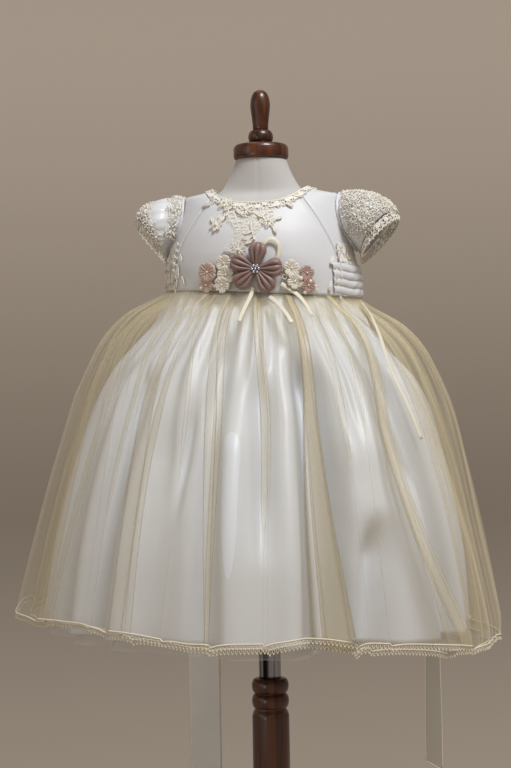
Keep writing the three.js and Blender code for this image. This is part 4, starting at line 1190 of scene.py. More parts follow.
def mirrored(grid, side):
    if side > 0:
        return grid
    return grid[:, ::-1] * np.array([-1, 1, 1])


def seam_roll(distance):
    """How a panel's face rises just before a seam and dips into it, by the distance from it."""
    return 0.4 * np.exp(-(((distance - 4) / 2.2) ** 2)) - 0.45 * np.exp(-((distance / 1.8) ** 2))


def eased(count):
    """Shares from 1 down to 0, closer together near the shoulder."""
    return 1 - np.linspace(0, 1, count) ** 1.25


def centre_front_grid():
    top_x = PRINCESS_SEAM[-1][1]
    side_top = neckline_z(top_x, NECK_FRONT_Z)
    v = eased(42)[:, None]
    u = np.linspace(-1, 1, 61)[None]
    half = read(PRINCESS_SEAM, mix(BODICE_LOW, side_top, v)) + 0.3
    z = mix(BODICE_LOW, neckline_z(u * top_x, NECK_FRONT_Z), v)
    grid = bodice_point(turn_at(u * half, z), z)
    pull = 0.35 * np.sin(9 * u + 3 * v) * np.exp(-(((v - 0.1) / 0.12) ** 2))
    return raised(grid, seam_roll(half * (1 - np.abs(u))) + pull)


def side_front_grid():
    top_x = PRINCESS_SEAM[-1][1]
    seam_z = neckline_z(top_x, NECK_FRONT_Z)
    rise = NECK_SIDE[1] - NECK_FRONT_Z
    v = eased(42)[:, None]
    u = np.linspace(0, 1, 25)[None]
    inner = mix(BODICE_LOW, NECK_SIDE[1], v)
    outer = mix(BODICE_LOW, SHOULDER_TIP[1], v)
    on_neck = NECK_SIDE[0] * (np.maximum(inner - NECK_FRONT_Z, 0) / rise) ** (1 / NECKLINE_POWER)
    inner_x = np.where(inner < seam_z, read(PRINCESS_SEAM, inner) + SEAM_GAP / 2, on_neck)
    start = turn_at(inner_x, inner) + 0.25
    end = edge_turn(outer) - 0.25
    z = mix(inner, outer, u)
    turn = np.minimum(mix(start, end, u), 90 - 2.4 * v**4)
    grid = bodice_point(turn, z)
    return raised(grid, seam_roll(np.radians(turn - start) * 80) * (v < 0.9))


def back_grid():
    v = eased(42)[:, None]
    u = np.linspace(1, 0, 41)[None]
    neck_x = NECK_SIDE[0] * np.minimum(u / 0.5, 1)
    shoulder_z = mix(NECK_SIDE[1], SHOULDER_TIP[1], np.maximum((u - 0.5) / 0.5, 0))
    top_z = np.where(u < 0.5, neckline_z(neck_x, NECK_BACK_Z), shoulder_z)
    top_turn = np.where(u < 0.5, turn_at(neck_x, top_z), 90)
    z = mix(BODICE_LOW, top_z, v)
    edge = edge_turn(mix(BODICE_LOW, SHOULDER_TIP[1], v)) - 0.5
    share = mix(u, top_turn / 90, v * v)
    return bodice_point(180 - np.minimum(edge * share, 90 - 2.4 * v**4) - 0.25, z)


def make_bodice():
    # Each panel: its grid, its flat size and its area.
    panels = {"centre_front": (centre_front_grid(), (0.185, 0.105), 0.0165)}
    for name, side in SIDES.items():
        panels[f"side_front_{name}"] = (mirrored(side_front_grid(), side), (0.07, 0.115), 0.0056)
        panels[f"back_{name}"] = (mirrored(back_grid(), side), (0.135, 0.115), 0.0125)
    for name, (grid, flat, area) in panels.items():
        panel = cloth(f"bodice_{name}_panel", tilted(grid), thick=1.0)
        finished(panel, "bodice_satin", "satin", "bodice_" + name)
    heights = np.linspace(NECK_BACK_Z - 3, BODICE_LOW + 1.5, 44)[:, None]
    across = np.linspace(1, -1, 13)[None]
    grid = bodice_point(180 - turn_at(7 * across, heights), heights)
    crown = 1.5 + 0.35 * (1 - across**4) * np.ones_like(heights)
    placket = cloth("back_placket_strip", tilted(raised(grid, crown)), thick=0.8)
    finished(placket, "bodice_satin", "satin", "back_placket")
    for i in range(3):
        node = f"back_button_{i + 1}"
        low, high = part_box(node)
        middle = (low + high) / 2 / MM
        ball = Form().add_ball((middle.x, low.y / MM + 0.2, middle.z), 3.35, 18, 11, 0.6, (0, 1, 0))
        finished(ball.made(node + "_pearl", outside=True), "pearl", "pearl", node)


# ---------- Sleeves ----------


def sleeve_grid(rings, columns=100, gather=1.0):
    """Rings of the right sleeve, from the armhole out to its hem."""
    s = np.linspace(0, 1, columns, endpoint=False)[None]
    at = np.asarray(rings, float)[:, None]
    top_x, top_z, mid_x, low_x, low_z, depth, lift = (read(SLEEVE, at, k) for k in range(1, 8))
    turn = -2 * np.pi * s
    down = (1 - np.cos(turn)) / 2
    bow = 4 * down * (1 - down)
    x = mix(top_x, low_x, down) + bow * (mid_x - (top_x + low_x) / 2)
    y = -depth * np.sin(turn)
    z = mix(top_z, low_z, down) + 0.4 * lift * np.sin(turn)
    swell = np.sin(np.pi * np.clip(at / 5.4, 0, 1)) ** 0.7
    wave = np.cos(23 * turn + 2.2 * np.sin(3 * turn) + 0.4 * at) + 0.6 * np.cos(11 * turn + 1 + 0.5 * at)
    wave = gather * (0.75 * swell * wave * (0.65 + 0.35 * np.cos(5 * turn + 2)))
    ease = np.stack([np.zeros_like(z), y, z - mix(top_z, low_z, 0.5)], -1)
    ease = ease / np.maximum(np.linalg.norm(ease, axis=-1, keepdims=True), 1e-9)
    clear = np.maximum(x, bodice_x(y, z) + SLEEVE_CLEAR)
    return np.stack([clear, y, z], -1) + ease * wave[..., None]


def sleeve_lace_grid(reaches, columns=100):
    """Rings of the lace below the sleeve's hem, by how far each one reaches."""
    last = sleeve_grid([5], columns, 0)[0]
    before = sleeve_grid([4], columns, 0)[0]
    turn = 2 * np.pi * np.linspace(0, 1, columns, endpoint=False)
    down = (1 - np.cos(turn)) / 2
    along = (last - before) * np.array([1, 0.6, 1]) - np.array([0, 0, 3])
    along = along / np.linalg.norm(along, axis=1, keepdims=True)
    return np.array([last + along * (1.4 + reach * (1 - 0.65 * down**2))[:, None] for reach in reaches])


def petal_ring(form, centre, way, normal, long, wide, thick, sides=5, steps=8):
    """A flat teardrop loop of thread that starts at `centre` and points along `way`."""
    way = np.array(way, float) / np.linalg.norm(way)
    across = np.cross(normal, way)
    across = across / np.linalg.norm(across)
    turn = 2 * np.pi * np.arange(steps) / steps
    along = long * (1 - np.cos(turn)) / 2
    out = wide / 2 * np.sin(turn) * (0.45 + 0.55 * along / long)
    path = np.array(centre) + along[:, None] * way + out[:, None] * across
    form.add_tube(path, thick, sides, closed=True)


def lace_flower_form():
    """A small five-petal lace flower with a bead in its middle, flat on XY, 10 mm across."""
    form = Form()
    for k in range(5):
        way = (math.cos(2 * math.pi * k / 5), math.sin(2 * math.pi * k / 5), 0)
        petal_ring(form, (0, 0, 0.4), way, (0, 0, 1), 5, 3.6, 0.42, 3, 7)
    return form.add_ball((0, 0, 0.8), 1.1, 6, 4)


def seed_bead_form():
    return Form().add_ball((0, 0, 1.0), 1.15, 7, 5)


def hanging(wide, high, drop, turn):
    """An oval of thread that hangs `drop` below its line."""
    return np.stack([wide * np.cos(turn), 0 * turn, drop + high * np.sin(turn)], -1)


def scallop_form():
    """One scallop of a lace edge, 6 mm wide, hanging down from its line, with its picots."""
    form = Form().add_tube(hanging(3, -3.6, 0, np.linspace(0, np.pi, 8)), 0.62, 4)
    form.add_tube(hanging(1.15, 1.15, -1.6, 2 * np.pi * np.arange(6) / 6), 0.45, 3, closed=True)
    for a in (math.pi * k for k in (0.25, 0.5, 0.75)):
        form.add_ball((3.7 * math.cos(a), 0, -4.3 * math.sin(a)), 0.62, 5, 4)
    return form


def picot_form():
    """One picot of a hem: a small hanging loop with a bead at its end."""
    loop = hanging(1.25, 1.5, -1.9, 2 * np.pi * np.arange(6) / 6)
    return Form().add_tube(loop, 0.4, 3, closed=True).add_ball((0, 0, -4.0), 0.85, 6, 4)


FORM_MAKERS = {
    "lace_flower": lace_flower_form,
    "seed_bead": seed_bead_form,
    "scallop": scallop_form,
    "picot": picot_form,
}
FORMS = {}


def form_of(name):
    """The small form of that name, hidden, made when it is first asked for."""
    if name not in FORMS:
        FORMS[name] = FORM_MAKERS[name]().made(name + "_form")
        FORMS[name].hide_render = True
    return FORMS[name]


def drawn(grid, reach):
    """A sleeve's points with what lies beyond the armhole drawn in or out."""
    start = 84.0
    x = grid[..., 0]
    moved = np.where(x > start, start + (x - start) * reach, x)
    return np.concatenate([moved[..., None], grid[..., 1:]], -1)


def make_sleeves():
    rings = np.concatenate([np.linspace(0, 0.6, 5), np.linspace(0.8, 5, 24)])
    whole = sleeve_grid(rings)
    whole_band = sleeve_lace_grid(np.linspace(0, SLEEVE_LACE_REACH - 4, 6))
    whole_edge = sleeve_lace_grid([SLEEVE_LACE_REACH - 4.2])[0]
    turn = np.linspace(0, 2 * np.pi, whole.shape[1], endpoint=False)
    top = smooth(np.cos(turn), -0.8, -0.4)
    for name, side in SIDES.items():
        reach = 0.88 if name == "left" else 1.05
        base, band, edge = (drawn(grid, reach) for grid in (whole, whole_band, whole_edge))
        sleeve = cloth(f"sleeve_{name}_puff", mirrored(base, side), ring=True, thick=0.8)
        finished(sleeve, "satin", "satin", "sleeve_" + name)
        lace = cloth(f"sleeve_{name}_lace_band", mirrored(band, side), ring=True)
        finished(lace, "lace", "lace", "sleeve_lace_" + name)
        line = mirrored(edge[None], side)[0]
        scallops = repeated(f"sleeve_{name}_scallops", line, "scallop", 6.6, "lace_thread", 1.2, True)
        finished(scallops, "lace_thread", "lace")
        armhole = mirrored(sleeve_grid([0.04], gather=0) - np.array([0.9, 0, 0]), side)[0]
        finished(Form().add_tube(armhole, 1.5, 8, closed=True).made(f"sleeve_{name}_welt"), "satin", "satin")
        over = raised(base, 0.9, ring=True)
        closed_over = np.concatenate([over, over[:, :1]], 1)
        cover = np.append(top, top[0])[None] * smooth(rings, 0.3, 0.8)[:, None]
        if name == "left":
            cover = cover * (smooth(rings, 3.2, 3.6) + 1 - smooth(rings, 1.2, 1.7))[:, None]
        ground, cover = mirrored(closed_over, side), cover[:, ::side]
        flowers = strewn(f"sleeve_{name}_lace_flowers", ground, cover, "lace_flower", 6.2, "lace_thread", 3, (0.95, 1.4))
        finished(flowers, "lace_thread", "lace")
        beads = strewn(f"sleeve_{name}_beads", ground, cover, "seed_bead", 5.2, "pearl", 11, (0.7, 1.2))
        finished(beads, "pearl", "pearl")


# ---------- Skirt ----------

# Pressed pleats of a tulle: turn at the waist, part way down and at the hem, width in
# millimetres at those three, number of layers, which side faces out, and the share of the drop
# at which it has opened out again.
OUTER_PLEATS = [
    (-66, -59, -53, 6, 20, 24, 3, -1, 1.3),
    (-27, -29, -26.5, 5, 17, 19, 3, -1, 1.3),
    (-21, -16, -15, 3, 7, 6, 3, 1, 0.62),
    (-12.5, -8.5, -4, 5, 15, 6, 3, 1, 1.3),
    (1.5, 6.5, 8, 4, 8, 5, 3, 1, 0.82),
    (19.5, 19.5, 23.5, 7, 16, 44, 5, 1, 1.3),
    (36, 35, 36, 3, 5, 4, 3, 1, 0.5),
    (46, 41.5, 55, 7, 12, 13, 5, 1, 1.3),
    (55, 60, 68, 5, 20, 12, 3, 1, 1.3),
    (86, 88, 90, 5, 14, 16, 3, 1, 1.3),
    (112, 115, 118, 4, 9, 6, 3, -1, 0.9),
    (136, 134, 131, 6, 17, 15, 3, 1, 1.3),
    (163, 160, 158, 5, 12, 18, 5, -1, 1.3),
    (184, 188, 186, 4, 9, 12, 3, 1, 1.3),
    (207, 203, 205, 6, 15, 20, 3, -1, 1.3),
    (233, 238, 236, 4, 10, 9, 3, 1, 0.8),
    (262, 264, 261, 6, 18, 17, 3, -1, 1.3),
]
INNER_PLEATS = [
    (-82, -80, -78, 6, 12, 9, 3, 1, 1.3),
    (-60, -56, -56, 6, 15, 18, 3, 1, 1.3),
    (-43, -40, -37, 4, 8, 6, 3, -1, 0.8),
    (-25, -28, -25, 5, 13, 12, 3, 1, 1.3),
    (-11, -7.5, -5, 4, 11, 6, 3, 1, 1.3),
    (3, 7.5, 9, 4, 6, 5, 3, 1, 0.7),
    (20, 21, 26, 7, 14, 32, 5, 1, 1.3),
    (30, 31, 33, 3, 6, 5, 3, 1, 0.6),
    (48, 44, 56, 7, 13, 12, 3, -1, 1.3),
    (57, 63, 66, 5, 13, 12, 3, 1, 1.3),
    (78, 79, 82, 4, 10, 14, 3, 1, 1.3),
    (103, 101, 104, 6, 14, 11, 3, -1, 1.3),
    (127, 124, 122, 5, 12, 9, 3, 1, 0.9),
    (151, 154, 150, 5, 13, 18, 3, 1, 1.3),
    (174, 172, 176, 6, 13, 13, 5, -1, 1.3),
    (199, 196, 194, 5, 9, 9, 3, 1, 0.9),
    (222, 225, 221, 5, 12, 16, 3, 1, 1.3),
    (248, 251, 250, 6, 14, 12, 3, 1, 1.3),
]
# Soft folds of the satin: turn at the waist and at the hem, half-width in degrees, height (a
# trough is negative), and the shares of the drop where it starts and ends.
SATIN_FOLDS = [
    (-4, 1, 8, 7, 0.3, 1.3),
    (-27, -25, 7, -3.2, 0.35, 1.3),
    (33, 33, 6.5, -3.4, 0.38, 1.3),
    (37, 42, 8, 6, 0.3, 1.3),
    (-36, -36, 8, 4, 0.35, 1.3),
    (-24.5, -14, 2.6, 5, 0.02, 0.72),
    (-13, -6, 3, -6, 0.08, 1.3),
    (-3.5, -2, 4.6, 6, 0.3, 1.3),
    (6, 9, 2.4, 5, 0.03, 0.3),
    (3, 8.5, 2.8, -6, 0.18, 0.8),
    (14, 16, 3.6, 8, 0.2, 1.3),
    (20, 27.5, 4.6, -13, 0.14, 1.3),
    (29, 33, 3.2, 7, 0.05, 0.7),
    (36, 32, 4.2, 7, 0.35, 1.3),
    (43, 41, 3.2, 5, 0.12, 0.62),
    (45, 38, 4, -9, 0.6, 1.3),
    (49, 56, 3.6, 7, 0.45, 1.3),
    (60, 65, 4, -7, 0.15, 1.3),
    (71, 74, 5, 7, 0.1, 1.3),
    (84, 84, 4.4, -8, 0.2, 1.3),
    (-18, -19, 1.7, -5, 0.28, 0.7),
    (-31, -33.5, 4.2, 7, 0.18, 1.3),
    (-42, -40, 3.4, -7, 0.2, 1.3),
    (-54, -47, 4.2, 7, 0.15, 1.3),
    (-63, -58, 3.4, -6, 0.2, 1.3),
    (-75, -70, 4.6, 7, 0.1, 1.3),
    (-88, -86, 4.2, -8, 0.2, 1.3),
    (-102, -100, 5, 7, 0.12, 1.3),
    (-118, -120, 4.4, -9, 0.15, 1.3),
    (-133, -131, 4.6, 7, 0.06, 0.8),
    (-149, -146, 4, -8, 0.3, 1.3),
    (-163, -161, 5, 8, 0.1, 1.3),
    (178, 179, 4.6, -9, 0.12, 1.3),
    (164, 161, 4.8, 8, 0.1, 0.9),
    (150, 152, 4.2, -7, 0.25, 1.3),
    (136, 133, 4.6, 7, 0.08, 1.3),
    (121, 119, 4, -8, 0.2, 1.3),
    (106, 108, 5, 7, 0.1, 1.3),
    (95, 96, 3.4, -5, 0.4, 1.3),
]


# The satin's ridges stop short of the tulle over them. Its troughs have room to be deeper.
RIDGE_SCALE, TROUGH_SCALE = 1.18, 2.9
# The outer tulle's far corner at the right: its turn, half-width in degrees, and reach.
CORNER = (59, 8, 11)


def gather_rows(count, seed, height, length, width, starts=(0.0, 0.03)):
    """Uneven small gathers: turn, half-width, height, and the drops where each starts and ends."""
    chance = np.random.default_rng(seed)
    turn = 360 * (np.arange(count) + chance.uniform(-0.36, 0.36, count)) / count
    wide = chance.uniform(*width, count)
    high = height * chance.uniform(0.45, 1.25, count)
    end = chance.uniform(*length, count)
    start = chance.uniform(*starts, count)
    return np.stack([turn, wide, high, start, end], -1)


def gathers_at(rows, turn, drop):
    """How far the gathers stand out at each turn and drop."""
    out = np.zeros(np.broadcast_shapes(turn.shape, drop.shape))
    for middle, wide, high, start, end in rows:
        ridge = np.exp(-((away_from(turn, middle) / wide) ** 2))
        out = out + high * ridge * smooth(drop, start, start + 0.05) * (1 - smooth(drop, 0.35 * end, end))
    return out


def pleated_columns(pleats, drops, apart):
    """For each drop, the turn of every column of a pleated tulle and how far in it lies.
    Between pleats the columns are `apart` degrees from each other at the waist."""
    stops = [0, 0.38, 1]
    turns, depths = [], []
    count = len(pleats)
    edges = []
    for waist, middle, hem, *widths, layers, facing, opens in pleats:
        centre = read([(s, t) for s, t in zip(stops, (waist, middle, hem))], drops)
        width = read([(s, w) for s, w in zip(stops, widths)], drops)
        width = width * (1 - 0.97 * smooth(drops, opens - 0.25, opens))
        radius = read(OUTER_TULLE, mix(WAIST_Z, 300, drops)) * 0.9
        half = np.degrees(width / radius) / 2
        edges.append((centre - half, centre + half, layers, facing, half))
    chance = np.random.default_rng(5)
    steps = 4
    for k, (left, right, layers, facing, half) in enumerate(edges):
        jitter = chance.uniform(0, 0.16, layers + 1)
        for j in range(layers * steps + 1):
            fold = min(j // steps, layers - 1)
            part = (j - fold * steps) / steps
            ends = []
            for e in (fold, fold + 1):
                inset = 0 if e in (0, layers) else 2 * half * jitter[e]
                ends.append(left + inset if e % 2 == 0 else right - inset)
            turns.append(mix(ends[0], ends[1], part))
            rank = j / steps if facing > 0 else layers - j / steps
            opening = np.minimum(half / 1.2, 1)
            depths.append(-0.75 * rank * opening)
        after = edges[(k + 1) % count]
        gap_end = after[0] + (360 if k == count - 1 else 0)
        fill = max(3, int((pleats[(k + 1) % count][0] + (360 if k == count - 1 else 0) - pleats[k][0]) / apart))
        low_here = -0.75 * layers if facing > 0 else 0
        low_next = -0.75 * after[2] if after[3] < 0 else 0
        for j in range(1, fill):
            part = j / fill
            turns.append(mix(right, gap_end, part))
            rise = math.exp(-part * 7) * low_here + math.exp(-(1 - part) * 7) * low_next
            depths.append(rise + 0 * drops)
    return np.stack(turns, 1), np.stack(depths, 1)


def tulle_grid(layer, pleats, seed):
    sizes = bpy.context.scene.gown_cloth
    drops = np.concatenate([np.linspace(0, 0.12, 13)[:-1], np.linspace(0.12, 1, 46)])
    turn, inward = pleated_columns(pleats, drops, 0.55)
    drop = drops[:, None]
    fabric = turn[:1] + 0 * turn
    fine = gather_rows(sizes.gathers, seed, sizes.gather_height / MM, (0.12, 0.8), (0.9, 1.8))
    broad = gather_rows(34, seed + 1, 3.0, (1.2, 2.5), (2.2, 4.6), (0.05, 0.4))
    out = gathers_at(fine, fabric, drop) + gathers_at(broad, fabric, drop) * smooth(drop, 0.05, 0.8)
    out = out + inward * smooth(drop, 0, 0.08) - 1.2 * smooth(drop, 0.02, 0.2)
    swing = np.interp((turn + 180) % 360 - 180, *np.transpose(HEM_SWING))
    corner, half, reach = CORNER
    tip = reach * np.exp(-((away_from(turn, corner) / half) ** 2)) * smooth(drop, 0.35, 1)
    rise = 0 if layer["share"] == 1 else 4
    z = mix(WAIST_Z, hem_z(layer, turn) + swing + rise + 1.6 * inward, drop)
    grid = skirt_point(layer, turn, z, out + tip * (layer["share"] == 1))
    tuck = skirt_point(layer, turn[:1], WAIST_Z + 2.5 + 0 * turn[:1], -2.2 + 0 * turn[:1])
    return tilted(np.concatenate([tuck, grid]))


def satin_grid(layer, shrink=0.0, columns=540):
    drops = np.concatenate([np.linspace(0, 0.12, 11)[:-1], np.linspace(0.12, 1, 50)])[:, None]
    turn = np.linspace(-180, 180, columns, endpoint=False)[None]
    out = np.zeros((len(drops), columns))
    for waist, hem, half, height, start, end in SATIN_FOLDS:
        away = away_from(turn, mix(waist, hem, drops)) / (1.25 * half)
        here = smooth(drops, start, start + 0.16) * (1 - smooth(drops, end - 0.22, end))
        depth = height * (RIDGE_SCALE if height > 0 else TROUGH_SCALE)
        out = out + depth * here * np.exp(-(away**2))
    fine = gather_rows(64, 21, 4.6, (0.16, 0.62), (1.3, 2.6))
    out = out + gathers_at(fine, turn, drops)
    z = mix(WAIST_Z, hem_z(layer, turn), drops)
    return tilted(skirt_point(layer, turn, z, out - shrink * smooth(drops, 0.05, 0.3)))


def make_skirts():
    net = cloth("petticoat_net", satin_grid(LAYERS["petticoat"], 2.5, 360), ring=True)
    finished(net, "net", "net", "petticoat_front", "petticoat_back")
    satin = cloth("satin_skirt_cloth", satin_grid(LAYERS["satin"]), ring=True, thick=0.6)
    finished(satin, "skirt_satin", "satin", "satin_skirt_front", "satin_skirt_back")
    for name, pleats, seed in (("inner", INNER_PLEATS, 31), ("outer", OUTER_PLEATS, 47)):
        grid = tulle_grid(LAYERS[name], pleats, seed)
        layer = cloth(f"{name}_tulle_cloth", grid, ring=True)
        finished(layer, "tulle", "tulle", f"{name}_tulle_front", f"{name}_tulle_back")
        hem = grid[-1]
        roll = Form().add_tube(hem, 0.75, 6, closed=True).made(f"{name}_tulle_rolled_hem")
        finished(roll, "hem_thread", "lace")
        angle = np.unwrap(np.arctan2(hem[:, 0], -hem[:, 1]))
        ahead = angle > np.concatenate([[-10], np.maximum.accumulate(angle)[:-1]]) + 1e-4
        picots = repeated(
            f"{name}_tulle_picots", hem[ahead] - np.array([0, 0, 0.6]), "picot",
            bpy.context.scene.gown_cloth.picot_pitch / MM, "hem_thread", 1.0, True,
        )
        finished(picots, "hem_thread", "lace", "hem_lace_" + name)


# ---------- Sash ----------


def sash_grid(start, end, columns, pinch_of=None):
    share = np.linspace(0, 1, 49)[:, None]
    turn = np.linspace(start, end, columns)[None]
    pinch = 0 if pinch_of is None else pinch_of(turn)
    rise = 0.22 * (SASH_HIGH - SASH_LOW) * pinch
    z = mix(SASH_HIGH - rise, SASH_LOW + rise, share)
    along = (turn - start) / (end - start)
    phase = 4 * share + 0.1 * np.sin(5 * along + 2) + 0.04 * np.sin(11 * along)
    ridge = np.abs(np.sin(np.pi * phase)) ** 0.55
    creases = 0.35 * np.sin(2 * np.pi * (2.5 * share + 3.2 * along)) * smooth(along, 0.1, 0.9)
    out = SASH_STAND - 2.6 + 1.9 * ridge + creases
    return tilted(bodice_point(turn, z) + outward(turn) * out[..., None])


def make_sash():
    def near_knot(turn):
        return 1 - np.clip(np.abs(turn - 180) / 60, 0, 1)

    pieces = {
        "front_right": (50, 89.6, None),
        "back_right": (90.4, 169, near_knot),
        "back_left": (191, 269.6, near_knot),
    }
    for name, (start, end, pinch) in pieces.items():
        grid = sash_grid(start, end, 60 if pinch is None else 96, pinch)
        part = finished(cloth(f"sash_{name}_cloth", grid, thick=0.7), "satin", "satin", "sash_" + name)
    low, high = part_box("sash_knot")
    middle = (low + high) / 2 / MM
    half = (high - low) / 2 / MM
    across = np.linspace(-1, 1, 33)[:, None]
    turn = np.linspace(0, 2 * np.pi, 48, endpoint=False)[None]
    swell = np.sqrt(np.clip(1 - 0.86 * across**2, 0.1, 1))
    crease = 1 + 0.07 * np.sin(7 * turn + 2 * across) * (1 - 0.4 * across**2)
    knot = np.stack(
        [
            middle.x + half.x * across + 0 * turn,
            middle.y + 0.94 * half.y * swell * crease * np.cos(turn),
            middle.z + 0.94 * half.z * swell * crease * np.sin(turn),
        ],
        -1,
    )
    form = Form().add_grid(knot, ring=True, caps=True)
    finished(form.made("sash_knot_cloth", outside=True), "satin", "satin", "sash_knot")
    make_tail("sash_tail_satin", SATIN_TAIL, "tail", "satin", 0.6)
    make_tail("sash_tail_organza", ORGANZA_TAIL, "organza", "tulle", 0)


def make_tail(node, tail, finish_name, slot, thick):
    """A sash tail on the outer tulle that hangs straight below the hem, with narrow hems."""
    layer = LAYERS["outer"]
    hem = float(hem_z(layer, tail["hem"]))
    z = np.concatenate([mix(TAIL_TOP_Z, hem + 4, np.linspace(0, 1, 40) ** 1.2), np.linspace(hem + 4, tail["end"], 30)[1:]])
    drop = np.minimum((TAIL_TOP_Z - z) / (TAIL_TOP_Z - hem), 1)
    turn = mix(tail["waist"], tail["hem"], np.sqrt(drop))
    on_cloth = np.maximum(z, hem + 4)
    centre = skirt_point(layer, turn, np.minimum(on_cloth, WAIST_Z))
    out = outward(turn)
    side = np.stack([-out[:, 1], out[:, 0], 0 * z], -1)
    crest = []
    for u in np.linspace(-1, 1, 5):
        aside = turn + np.degrees(u * tail["wide"] / 2 / np.linalg.norm(centre, axis=1))
        crest.append(((skirt_point(layer, aside, np.minimum(on_cloth, WAIST_Z)) - centre) * out).sum(1))
    stand = tail["stand"] + np.max(crest, axis=0) + 1.3
    centre[:, 2] = z
    centre = tilted(centre)
    u = np.linspace(-1, 1, 17)
    wave = 1.6 * np.sin(z / 31)[:, None] * u[None] + 0.9 * np.cos(z / 17)[:, None] * (1 - u[None] ** 2)
    half = tail["wide"] / 2
    free = smooth(hem - z, -10, 60)[:, None]
    side = side * (1 - free) + np.sign(side[:, :1]) * np.array([[1.0, 0, 0]]) * free
    side = side / np.linalg.norm(side, axis=1, keepdims=True)
    grid = centre[:, None] + side[:, None] * (u * half)[None, :, None]
    grid = grid + out[:, None] * (stand[:, None] + 0.5 * wave)[..., None]
    if tail["end"] > 100:
        grid[-6:, :, 2] += np.linspace(0, 1, 6)[:, None] * (5 * (u[None] + 1))
    made = finished(cloth(node + "_cloth", grid, thick=thick, reference=30), finish_name, slot, node)
    form = Form()
    for column in (0, -1):
        form.add_tube(grid[:, column], 0.55 if thick else 0.45, 6)
    form.add_tube(grid[-1], 0.5, 6)
    edges = finished(form.made(node + "_edges"), "hem_thread", slot)


# ---------- Lace of the bodice ----------

# Appliqué on the centre front by x and z: flowers with their petals' length, leaves with their
# turn from +X and length, and stems.
LACE_FLOWERS = [(-29, 706, 6.5), (-8, 697.5, 7), (-36, 683, 5.5), (15, 686, 6), (-13, 658, 7)]
LACE_LEAVES = [
    (-21, 701, 200, 9),
    (-17, 698, 320, 9),
    (-27, 693, 235, 9),
    (-31, 688, 120, 7),
    (-40, 686, 100, 7),
    (2, 694, 330, 9),
    (8, 690, 60, 7),
    (19, 681, 300, 8),
    (21, 688, 20, 7),
    (2, 671, 285, 8),
    (-1, 676, 200, 7),
    (-4, 668, 160, 6),
    (-20, 657, 165, 8),
    (-6, 664, 30, 7),
    (-15, 651, 255, 7),
    (-8, 652, 300, 6),
    (-44, 705, 170, 9),
    (36, 712, 350, 9),
    (30, 704, 330, 8),
]
LACE_STEMS = [
    [(-46, 706), (-36, 708), (-24, 702), (-14, 698)],
    [(-24, 700), (-27, 692), (-34, 684), (-38, 677)],
    [(-3, 696), (5, 692), (13, 687), (21, 678)],
    [(0, 692), (-2, 682), (1, 672), (3, 662)],
    [(0, 672), (-5, 666), (-11, 660), (-19, 655)],
]
LACE_PEARLS = [
    (-29, 706), (-8, 697.5), (-3, 694), (6, 690), (15, 686),
    (-36, 683), (-26, 692), (2, 668), (-13, 658), (-20, 702),
]


def bodice_frame(x, z, lift=0.0):
    """A point on the bodice's front, with the directions across, up and out of it there."""
    turn = float(turn_at(x, z))
    here = tilted(bodice_point(turn, z))
    across = tilted(bodice_point(turn + 0.5, z)) - here
    across = across / np.linalg.norm(across)
    up = tilted(bodice_point(float(turn_at(x, z + 1)), z + 1)) - here
    up = up / np.linalg.norm(up)
    out = np.cross(across, up)
    out = out / np.linalg.norm(out)
    return here + out * lift, across, up, out


def leaf(form, x, z, turn, long, lift=1.9):
    centre, across, up, out = bodice_frame(x, z, lift)
    a = math.radians(turn)
    way = across * math.cos(a) + up * math.sin(a)
    petal_ring(form, centre, way, out, long, long * 0.42, 0.5, 5, 14)
    form.add_tube([centre + way * long * s for s in (0.1, 0.5, 0.92)], 0.38, 5)
    petal_ring(form, centre + way * long * 0.15, way, out, long * 0.7, long * 0.2, 0.32, 4, 10)


def lace_flower(form, x, z, long, lift=1.9):
    centre, across, up, out = bodice_frame(x, z, lift)
    for k in range(6):
        a = math.radians(60 * k + 13 * x)
        way = across * math.cos(a) + up * math.sin(a)
        petal_ring(form, centre + way * 0.8, way, out, long, long * 0.7, 0.5, 5, 12)
        petal_ring(form, centre + way * 1.4, way, out, long * 0.62, long * 0.32, 0.36, 4, 9)


